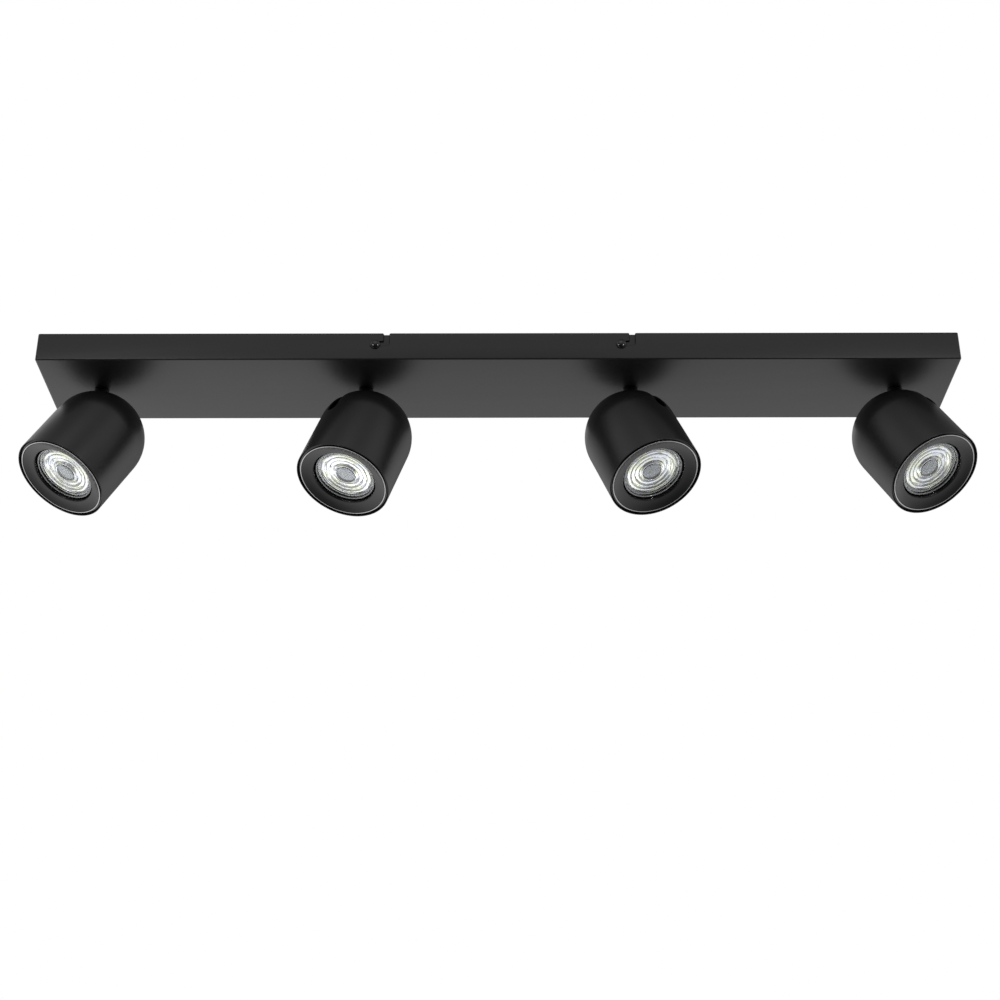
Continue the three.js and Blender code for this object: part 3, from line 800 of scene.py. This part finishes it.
def make_floor():
    """Pale floor well below the bar, as bright from each side as the room round it."""
    bm = bmesh.new()
    bmesh.ops.create_grid(bm, x_segments=1, y_segments=1, size=FLOOR_SIZE)
    floor = loose_object("floor", shifted(bm, *FLOOR_PLACE))
    material = bpy.data.materials.new("floor_white")
    material.use_nodes = True
    tree = material.node_tree
    tree.nodes.remove(tree.nodes["Principled BSDF"])
    place = node(tree, "ShaderNodeTexCoord").outputs["Object"]
    light = node(tree, "ShaderNodeEmission", {
        "Color": (1, 1, 1, 1), "Strength": room_brightness(tree, place),
    })
    tree.links.new(light.outputs["Emission"], tree.nodes["Material Output"].inputs["Surface"])
    floor.data.materials.append(material)


def make_lights():
    """Two softboxes in front, whose glints show on the screws."""
    x, y, z = SOFTBOX_PLACE
    for name, side in (("softbox_left", -1), ("softbox_right", 1)):
        place = Vector((side * x, y, z))
        data = bpy.data.lights.new(name, "AREA")
        data.shape = "RECTANGLE"
        data.size, data.size_y = SOFTBOX_SIZE
        data.energy = SOFTBOX_POWER
        box = bpy.data.objects.new(name, data)
        box.location = place
        box.rotation_euler = (Vector(SOFTBOX_TARGET) - place).to_track_quat("-Z", "Y").to_euler()
        box.visible_camera = False
        bpy.context.scene.collection.objects.link(box)


# ---- canopy ----

def bayonet_tool(screw, grow, start, end):
    """L-shaped slot through the long walls: in at the rim, down, and along a slope to the screw."""
    half = BAYONET_WIDTH / 2 + grow
    entry = screw.x + BAYONET_TRAVEL
    wide = half + BAYONET_CHAMFER
    lean = math.atan2(BAYONET_RISE, BAYONET_TRAVEL)
    corner_z = screw.z + half / math.cos(lean) + (BAYONET_TRAVEL - half) * math.tan(lean)
    turn_z = screw.z + BAYONET_RISE
    seat = [math.radians(90 + 180 * i / ARC_STEPS) + lean for i in range(ARC_STEPS + 1)]
    steps = BAYONET_TURN_STEPS
    turn = [math.radians(270) + lean + (math.radians(90) - lean) * i / steps for i in range(steps + 1)]
    points = [
        (entry - wide, MM), (entry - wide, 0), (entry - half, -BAYONET_CHAMFER),
        (entry - half, corner_z),
        *((screw.x + half * math.cos(a), screw.z + half * math.sin(a)) for a in seat),
        *((entry + half * math.cos(a), turn_z + half * math.sin(a)) for a in turn),
        (entry + half, -BAYONET_CHAMFER), (entry + wide, 0), (entry + wide, MM),
    ]
    return extruded([(x, start, z) for x, z in points], (0, end - start, 0))


def make_canopy():
    """Folded tray: floor, four walls, bayonet slots, stem holes and the turning stops."""
    low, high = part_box("canopy")
    size = high - low
    bm = block(size, (0, 0, -size.z / 2))
    round_edges(bm, lambda e: abs(e.verts[0].co.z - e.verts[1].co.z) > MM, CANOPY_CORNER, 6)
    round_edges(bm, lambda e: all(abs(v.co.z - low.z) < TOUCH for v in e.verts), CANOPY_BEND, 5)
    lids = [face for face in bm.faces if face.normal.z > 0.9]
    bmesh.ops.delete(bm, geom=lids, context="FACES_ONLY")
    bmesh.ops.solidify(bm, geom=bm.faces[:], thickness=CANOPY_SHEET)
    cleaned(bm)

    def on_top_rim(edge):
        walls = [face for face in edge.link_faces if abs(face.normal.z) < 0.1]
        outer = any(face.normal.dot(face.calc_center_median()) > 0 for face in walls)
        return outer and all(vertex.co.z > -TOUCH for vertex in edge.verts)

    round_edges(bm, on_top_rim, RIM_ROUND)
    screws = [box_centre(f"side_screw_front_{end}") for end in ENDS]
    front, back = low.y - MM, high.y + MM
    tools = []
    for screw in screws:
        tools.append(bayonet_tool(screw, 0, front, back))
        tools.append(bayonet_tool(screw, BAYONET_STEP, front, low.y + BAYONET_STEP))
        tools.append(bayonet_tool(screw, BAYONET_STEP, high.y - BAYONET_STEP, back))
    lug_z = low.z + CANOPY_SHEET + LUG_SIZE[2] / 2 - CANOPY_SHEET / 4
    lugs = []
    for number in HEADS:
        place = swivel_place(number)
        radius = reach(f"stem_{number}", place).outer + STEM_CLEARANCE
        tools.append(shifted(rod(radius, -2 * size.z, 0), place.translation.x, 0, 0))
        lugs.append(block(LUG_SIZE, (place.translation.x, LUG_REACH, lug_z)))
    bm = carved(carved(bm, tools), lugs, "UNION")
    made = piece("canopy_tray", bm, "ceiling_unit", "canopy_paint", "canopy")

    def in_slot(point, screws):
        """Whether a point on the tray is on the wall of a bayonet slot, behind its coined step."""
        beside_screw = any(abs(point.x - screw.x) < 2 * BAYONET_TRAVEL for screw in screws)
        in_wall = high.y - CANOPY_SHEET / 2 < abs(point.y) < high.y - BAYONET_STEP / 2
        return beside_screw and in_wall and low.z + 2 * CANOPY_BEND < point.z < -RIM_ROUND

    # the walls and coined steps of the bayonet slots take the painted shade
    refinish(made, "painted_slot_shade", Matrix(), in_slot, screws)


# ---- bracket and what is on it ----

def make_bracket():
    """Folded channel with ceiling-screw slots, a cable hole and bores for the side screws."""
    low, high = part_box("mounting_bracket")
    bm = bmesh.new()
    ridge = [(low.y, low.z), (low.y, high.z), (high.y, high.z), (high.y, low.z)]
    points = [bm.verts.new((low.x, y, z)) for y, z in ridge]
    lines = [bm.edges.new(pair) for pair in zip(points, points[1:])]
    pulled(bm, bmesh.ops.extrude_edge_only(bm, edges=lines), (high.x - low.x, 0, 0))
    bmesh.ops.recalc_face_normals(bm, faces=bm.faces[:])
    if sum(face.normal.z for face in bm.faces) < 0:
        bmesh.ops.reverse_faces(bm, faces=bm.faces[:])
    round_edges(bm, lambda e: len(e.link_faces) == 2, BRACKET_BEND, 6)
    bmesh.ops.solidify(bm, geom=bm.faces[:], thickness=BRACKET_SHEET)
    cleaned(bm)
    tools = []
    through = 4 * BRACKET_SHEET
    outline = slot_outline(CEILING_SLOT_LENGTH, CEILING_SLOT_WIDTH)
    for side, end in zip((-1, 1), ENDS):
        slot = extruded(outline, (0, 0, through))
        tools.append(shifted(slot, side * CEILING_SLOT_X, 0, -through / 2))
        screw = box_centre(f"side_screw_front_{end}")
        bore = moved(rod(SIDE_BORE_RADIUS, low.y * 2, high.y * 2), Matrix.Rotation(math.pi / 2, 4, "X"))
        tools.append(shifted(bore, screw.x, 0, screw.z))
    grommet = box_centre("cable_grommet")
    tools.append(shifted(rod(CABLE_HOLE_RADIUS, -through, through), grommet.x, grommet.y, 0))
    piece("bracket_channel", carved(bm, tools), "ceiling_unit", "canopy_paint", "mounting_bracket")


def make_grommet():
    low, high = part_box("cable_grommet")
    middle = (low + high) / 2
    outer, bore = (high.x - low.x) / 2, GROMMET_BORE
    spigot, lip_top = outer - GROMMET_LIP_REACH, low.z + GROMMET_LIP
    bm = turned([
        (bore, high.z), (spigot, high.z), (spigot, lip_top), (outer, lip_top), (outer, low.z),
        (bore, low.z),
    ], SMALL_STEPS)
    for distance, height in ((outer, lip_top), (outer, low.z), (bore, low.z), (bore, high.z)):
        round_ring(bm, distance, height, GROMMET_ROUND, 4)
    shifted(bm, middle.x, middle.y, 0)
    piece("grommet_ring", bm, "ceiling_unit", "black_rubber", "cable_grommet")


def grub_screw():
    """Screw with a driver slot, its head a little inside the well, facing -Z."""
    bm = rod(GRUB_RADIUS, GRUB_SINK, TERMINAL_WELL_DEPTH - GRUB_END_GAP, TINY_STEPS)
    round_ring(bm, GRUB_RADIUS, GRUB_SINK, GRUB_ROUND)
    width, depth = DRIVER_SLOT
    return carved(bm, [block((width, 4 * GRUB_RADIUS, depth), (0, 0, GRUB_SINK))])


def make_terminal_block():
    """Nylon block with screw wells underneath, wire ports along Y and brass inside."""
    low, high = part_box("terminal_block")
    middle = (low + high) / 2
    size = high - low
    tools = []
    first = middle.x - TERMINAL_PITCH * (TERMINAL_POLES - 1) / 2
    tubes, screws = bmesh.new(), bmesh.new()
    outer, inner = TERMINAL_PORT - TUBE_GAP, TERMINAL_PORT - TUBE_INNER_GAP
    tube_end = size.y / 2 - TUBE_INSET
    for pole in range(TERMINAL_POLES):
        x = first + pole * TERMINAL_PITCH
        along_y = Matrix.Translation((x, 0, middle.z)) @ Matrix.Rotation(math.pi / 2, 4, "X")
        tools.append(moved(rod(TERMINAL_PORT, -size.y, size.y, TINY_STEPS), along_y))
        tube = turned([
            (outer, -tube_end), (outer, tube_end), (inner, tube_end), (inner, -tube_end),
        ], TINY_STEPS)
        add_shape(tubes, moved(tube, along_y))
        for side in (-1, 1):
            spot = Matrix.Translation((x, side * size.y / 4, low.z))
            tools.append(moved(rod(TERMINAL_WELL, -MM, TERMINAL_WELL_DEPTH, TINY_STEPS), spot))
            add_shape(screws, moved(grub_screw(), spot))
    for pole in range(TERMINAL_POLES - 1):
        x = first + (pole + 0.5) * TERMINAL_PITCH
        tools.append(block((TERMINAL_NOTCH, 2 * size.y, size.z / 2), (x, 0, low.z)))
    bm = block(size, middle)
    round_edges(bm, lambda e: True, TERMINAL_ROUND, 3)
    piece("terminal_body", carved(bm, tools), "ceiling_unit", "white_nylon", "terminal_block")
    piece("terminal_tubes", tubes, "ceiling_unit", "terminal_brass")
    piece("terminal_screws", screws, "ceiling_unit", "terminal_brass")


def make_earth_stud():
    low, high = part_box("earth_stud")
    middle = (low + high) / 2
    washer_z = high.z - M4_WASHER
    shank = turned([(0, low.z), *threaded(M4_RADIUS, low.z, high.z), (0, high.z)], STUD_STEPS)
    nut = hex_body(M4_NUT_CORNER, high.z - M4_NUT_HEIGHT, washer_z)
    washer = rod(M4_WASHER_RADIUS, washer_z, high.z, STEM_STEPS)
    bm = shifted(carved(shank, [nut, washer], "UNION"), middle.x, middle.y, 0)
    piece("earth_stud_nut", bm, "ceiling_unit", "zinc_steel", "earth_stud")


def make_side_screw(wall, sign, end):
    """Domed screw in a bayonet slot."""
    node_name = f"side_screw_{wall}_{end}"
    low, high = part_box(node_name)
    middle = (low + high) / 2
    radius = (high.x - low.x) / 2
    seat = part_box("canopy")[1].y
    head = max(abs(low.y), abs(high.y)) - seat
    tail = min(abs(low.y), abs(high.y)) - seat
    rim = SCREW_RIM * head
    angles = [math.radians(90 * i / SCREW_RINGS) for i in range(SCREW_RINGS)]
    dome = [(radius * math.cos(a), rim + (head - rim) * math.sin(a)) for a in angles]
    bm = turned([
        (0, tail), *threaded(M4_RADIUS, tail, 0), (radius, 0), *dome, (0, head),
    ], SMALL_STEPS)
    round_ring(bm, radius, 0, SCREW_ROUND)
    turn = Matrix.Rotation(-sign * math.pi / 2, 4, "X")
    moved(bm, Matrix.Translation((middle.x, sign * seat, middle.z)) @ turn)
    piece(f"domed_screw_{wall}_{end}", bm, "ceiling_unit", "black_chrome", node_name)


# ---- stem parts, each in the stem's own frame ----

def stem_tube(size):
    outside = threaded(size.outer, size.low, size.high)
    return turned([(size.inner, size.low), *outside, (size.inner, size.high)], STEM_STEPS)


def flange_nut(size, hole):
    """Flanged nut with the finger that meets the turning stop."""
    flange_top = size.low + NUT_FLANGE
    flange = rod(NUT_FLANGE_RADIUS, size.low, flange_top)
    round_ring(flange, NUT_FLANGE_RADIUS, flange_top, NUT_FLANGE_ROUND)
    finger_middle = (size.outer - FINGER_LENGTH / 2, 0, (size.low + flange_top) / 2)
    finger = block((FINGER_LENGTH, FINGER_WIDTH, NUT_FLANGE), finger_middle)
    bm = carved(flange, [finger, hex_body(NUT_CORNER, size.low, size.high)], "UNION")
    return carved(bm, [rod(hole, size.low - MM, size.high + MM)])


def grooved_collar(size, housing_radius, pivot_z):
    """Grooved collar whose foot is hollowed to the round back."""
    inside, outside = size.inner, size.outer
    ball = housing_radius + COLLAR_FOOT_GAP
    waist, groove = outside - COLLAR_WAIST, outside - COLLAR_GROOVE
    groove_high = size.low + COLLAR_GROOVE_PLACE * (size.high - size.low)
    groove_low = groove_high - COLLAR_GROOVE
    foot = [
        (d, pivot_z + math.sqrt(ball ** 2 - d ** 2))
        for d in (outside, (inside + outside) / 2, inside)
    ]
    bm = turned([
        (inside, size.high), (waist, size.high), (waist, groove_high), (groove, groove_high),
        (groove, groove_low), (outside, groove_low), *foot,
    ], COLLAR_STEPS)
    round_ring(bm, waist, size.high, COLLAR_TOP_ROUND)
    round_ring(bm, waist, groove_high, COLLAR_LIP_ROUND)
    round_ring(bm, outside, groove_low, COLLAR_FOOT_ROUND)
    round_ring(bm, outside, foot[0][1], COLLAR_FOOT_ROUND)
    return bm


# ---- head parts, each in the head's own frame ----

def slot_tool(half, inside, outside):
    """The stem's path through the round back: a quarter ring with round ends."""
    bm = bmesh.new()
    corners = [(0, -half, inside), (0, half, inside), (0, half, outside), (0, -half, outside)]
    face = bm.faces.new([bm.verts.new(corner) for corner in corners])
    spun(bm, [face, *face.edges, *face.verts], (0, 1, 0), math.pi / 2, DOME_RINGS)
    upright = rod(half, inside, outside, SLOT_END_STEPS)
    level = moved(rod(half, inside, outside, SLOT_END_STEPS), Matrix.Rotation(math.pi / 2, 4, "Y"))
    return carved(bm, [upright, level], "UNION")


def housing_shell(size, half_slot):
    """Drawn tube with a hemispherical back, slotted for the stem, its bore flared at the mouth."""
    radius, mouth = size.outer, size.low
    bore = radius - HOUSING_WALL
    bm = turned([
        *dome_arc(radius, 90, 0), (radius, mouth), (radius - MOUTH_EDGE, mouth),
        (bore, mouth + MOUTH_FLARE), *dome_arc(bore, 0, 90),
    ], HEAD_STEPS)
    round_ring(bm, radius, mouth, MOUTH_ROUND, 4)
    return carved(bm, [slot_tool(half_slot, radius - 4 * HOUSING_WALL, radius + 4 * HOUSING_WALL)])


def bezel_ring(size):
    """Dished ring with a beaded lip, a cone down to the lamp and a baffle behind."""
    lip, opening = size.outer, size.inner
    shoulder_z = size.low + BEZEL_DROP
    plate_z = shoulder_z + BEZEL_PLATE
    cone_z = size.low + BEZEL_CONE_DEPTH
    baffle_top = cone_z + BEZEL_BAFFLE
    crest = lip - BEZEL_SHOULDER - BEZEL_BEAD
    bead = half_round(BEZEL_BEAD, size.low + BEZEL_BEAD, 0, BEZEL_BEAD_END, BEZEL_BEAD_STEPS)
    dish_start, dish_z = crest - BEZEL_BEAD - DISH_EDGE, size.low + DISH_EDGE
    dish = []
    for i in range(DISH_STEPS):
        along = i / DISH_STEPS
        level = dish_z + (cone_z - dish_z) * along
        hollow = DISH_HOLLOW * math.sin(math.pi * along)
        dish.append((dish_start + (opening - dish_start) * along, level - hollow))
    bm = turned([
        (lip, shoulder_z), (crest + BEZEL_BEAD, shoulder_z - BEZEL_SHOULDER_FALL),
        *((crest + distance, height) for distance, height in bead), *dish,
        (opening, cone_z), (opening, baffle_top), (opening + BEZEL_WALL, baffle_top),
        (opening + BEZEL_WALL, cone_z + BEZEL_PLATE), (crest - BEZEL_BEAD, plate_z),
        (lip - BEZEL_WALL, plate_z), (lip - BEZEL_WALL, size.high), (lip, size.high),
    ], HEAD_STEPS)
    round_ring(bm, opening, cone_z, BEZEL_OPENING_ROUND, 5)
    return bm


def on_bead(point, size):
    """Whether a point on the bezel is on the crest of its bead."""
    off_crest = abs(point.xy.length - (size.outer - BEZEL_SHOULDER - BEZEL_BEAD))
    return off_crest < 0.75 * BEZEL_BEAD and point.z < size.low + 0.5 * BEZEL_BEAD


# ---- lamp, in the head's own frame ----

def lamp_bowl(size):
    """Pressed-glass bowl with a thick flat rim."""
    rim, rim_top = size.outer - LAMP_WALL, size.low + LAMP_RIM_LENGTH
    foot_z, floor_z = size.high, size.high - LAMP_WALL
    outside = bowl(size.outer, LAMP_NECK, rim_top, foot_z)
    inside = bowl(rim, LAMP_NECK - LAMP_WALL, rim_top, floor_z)
    bm = turned([
        (0, floor_z), *reversed(inside), (rim, size.low), (size.outer, size.low), *outside, (0, foot_z),
    ], HEAD_STEPS)
    round_ring(bm, size.outer, size.low, LAMP_OUTER_ROUND, 4)
    round_ring(bm, rim, size.low, LAMP_INNER_ROUND, 3)
    return bm


def on_glass_rim(point, size):
    """Whether a point on the bowl is on its flat rim."""
    return point.z < size.low + FROST_DEPTH and point.xy.length > size.outer - LAMP_WALL


def ringed_lens(size):
    """Clear lens: a domed centre, a groove round it, and rounded rings out to a plain rim."""
    rim, dome = size.outer, LENS_DOME_RADIUS
    face = size.low + LENS_DOME_RISE
    floor = face + LENS_GROOVE
    back_z = size.low + LENS_THICKNESS
    rings = ripples(
        dome + LENS_GROOVE_END, LENS_RIDGED_RADIUS, LENS_RIDGES, LENS_RIDGE_HEIGHT, floor, floor,
    )
    bm = turned([
        *shallow_dome(dome, LENS_DOME_RISE, size.low, LENS_DOME_STEPS),
        (dome + LENS_GROOVE_START, floor), *rings, (LENS_RIDGED_RADIUS + LENS_RIM_STEP, face),
        (rim, face), (rim, back_z), (0, back_z),
    ], HEAD_STEPS)
    round_ring(bm, rim, face, LENS_RIM_ROUND, 3)
    return bm


def dome_cap(radius, swell, edge_z, back_z):
    """Shallow dome towards -Z that stands out from edge_z, with a flat back."""
    dome = shallow_dome(radius, swell, edge_z - swell, ARC_STEPS)
    return turned([*dome, (radius, back_z), (0, back_z)], SMALL_STEPS)


def make_reflector(number, place, body):
    """Silvered rings, toothed at the rim, round a bead and a grey disc with the light chip."""
    lens = reach(f"lamp_lens_{number}", place)
    eye, rim = REFLECTOR_EYE, lens.outer - REFLECTOR_RIM_GAP
    bead_crest, bead_end = eye + REFLECTOR_BEAD, eye + 2 * REFLECTOR_BEAD
    mouth = lens.low + LENS_THICKNESS + REFLECTOR_LENS_GAP
    valley = mouth + REFLECTOR_DEPTH
    back_z = valley + REFLECTOR_BACK
    bead = half_round(REFLECTOR_BEAD, mouth + REFLECTOR_BEAD, 180, 360, ARC_STEPS)
    rings = ripples(
        bead_end + REFLECTOR_GAP, REFLECTOR_TOOTHED, REFLECTOR_RINGS, REFLECTOR_RING_HEIGHT,
        valley, mouth + REFLECTOR_RING_HEIGHT,
    )
    bm = turned([
        (0, valley), (eye, valley), *((bead_crest + distance, height) for distance, height in bead),
        (bead_end, valley), *rings, (rim, mouth), (rim, back_z), (0, back_z),
    ], HEAD_STEPS)
    for vertex in bm.verts:
        distance = math.hypot(vertex.co.x, vertex.co.y)
        if abs(distance - REFLECTOR_TOOTHED) < 5 * TOUCH:
            turn = math.atan2(vertex.co.y, vertex.co.x)
            vertex.co.z += REFLECTOR_TOOTH_HEIGHT * (round(turn / (2 * math.pi) * HEAD_STEPS) % 2)
    layer = bm.loops.layers.uv.new("lamp_face")
    for face in bm.faces:
        for loop in face.loops:
            loop[layer].uv = loop.vert.co.xy / rim
    piece(f"reflector_{number}", moved(bm, place), body, "lamp_silver")
    disc_z = valley - DISC_LIFT
    disc = dome_cap(eye - DISC_SIDE_GAP, DISC_SWELL, disc_z, valley - DISC_BACK_GAP)
    piece(f"chip_disc_{number}", moved(disc, place), body, "disc_grey")
    chip = dome_cap(CHIP_RADIUS, CHIP_SWELL, disc_z - DISC_SWELL + CHIP_SWELL - CHIP_PROUD, disc_z)
    piece(f"light_chip_{number}", moved(chip, place), body, "chip_phosphor")


def pin_base(size):
    """Ceramic cap with the two turn-and-lock pins."""
    cap_top = size.high - PIN_CAP_DEPTH
    root_z, head_z = cap_top - PIN_ROOT, size.high - PIN_HEAD_HEIGHT
    cap = rod(size.outer, size.low, cap_top)
    round_ring(cap, size.outer, cap_top, CERAMIC_ROUND)
    pins = []
    for side in (-1, 1):
        pin = turned([
            (0, root_z), (PIN_RADIUS, root_z), (PIN_RADIUS, head_z), (PIN_HEAD_RADIUS, head_z),
            (PIN_HEAD_RADIUS, size.high), (0, size.high),
        ], TINY_STEPS)
        pins.append(shifted(pin, 0, side * PIN_PLACE, 0))
    return carved(cap, pins, "UNION")


def ceramic_holder(size):
    """Ceramic holder with a round hole for each pin to turn in."""
    holder = rod(size.outer, size.low, size.high)
    round_ring(holder, size.outer, size.low, CERAMIC_ROUND)
    round_ring(holder, size.outer, size.high, CERAMIC_ROUND)
    tools = []
    for side in (-1, 1):
        hole = rod(PIN_HOLE_RADIUS, 0, PIN_HOLE_DEPTH, STUD_STEPS)
        tools.append(shifted(hole, 0, side * PIN_PLACE, size.low - MM))
    return carved(holder, tools)


# ---- assembly ----

def make_head(number):
    """Everything that swivels and tilts at one stem."""
    stem, head = swivel_place(number), head_place(number)
    stem_radius = reach(f"stem_{number}", stem).outer
    housing_radius = reach(f"housing_{number}", head).outer

    def part(place, body, shape, node_name, slot, *sizes):
        """Makes the piece that stands for one of this head's nodes, named after its shape."""
        node_name = f"{node_name}_{number}"
        size = reach(node_name, place)
        bm = moved(shape(size, *sizes), place)
        return size, piece(f"{shape.__name__}_{number}", bm, f"{body}_{number}", slot, node_name)

    part(stem, "swivel", stem_tube, "stem", "zinc_steel")
    part(stem, "swivel", flange_nut, "stem_nut", "zinc_steel", stem_radius + STEM_CLEARANCE)
    part(stem, "swivel", grooved_collar, "collar", "black_chrome", housing_radius, head.translation.z)
    repaint(f"saddle_{number}", "white_nylon")
    repaint(f"saddle_nut_{number}", "zinc_steel")
    part(head, "head", housing_shell, "housing", "head_paint", stem_radius + SLOT_SIDE_GAP)
    size, bezel = part(head, "head", bezel_ring, "bezel", "bezel_paint")
    # the crest of the bead takes the bright metal of the painted highlight
    refinish(bezel, "bead_highlight_metal", head, on_bead, size)
    size, glass = part(head, "head", lamp_bowl, "lamp_body", "lamp_glass")
    refinish(glass, "frosted_rim", head, on_glass_rim, size)
    part(head, "head", ringed_lens, "lamp_lens", "lamp_lens")
    make_reflector(number, head, f"head_{number}")
    part(head, "head", pin_base, "lamp_base", "lamp_ceramic")
    part(head, "head", ceramic_holder, "lamp_holder", "lamp_ceramic")
    repaint(f"lamp_carrier_{number}", "zinc_steel")


bpy.context.scene.view_settings.view_transform = "Standard"
make_camera()
STUDIO_ROOM = studio_room_group()
make_world()
make_floor()
make_lights()
make_canopy()
make_bracket()
make_grommet()
make_terminal_block()
make_earth_stud()
for wall, sign in (("front", -1), ("back", 1)):
    for end in ENDS:
        make_side_screw(wall, sign, end)
for number in HEADS:
    make_head(number)
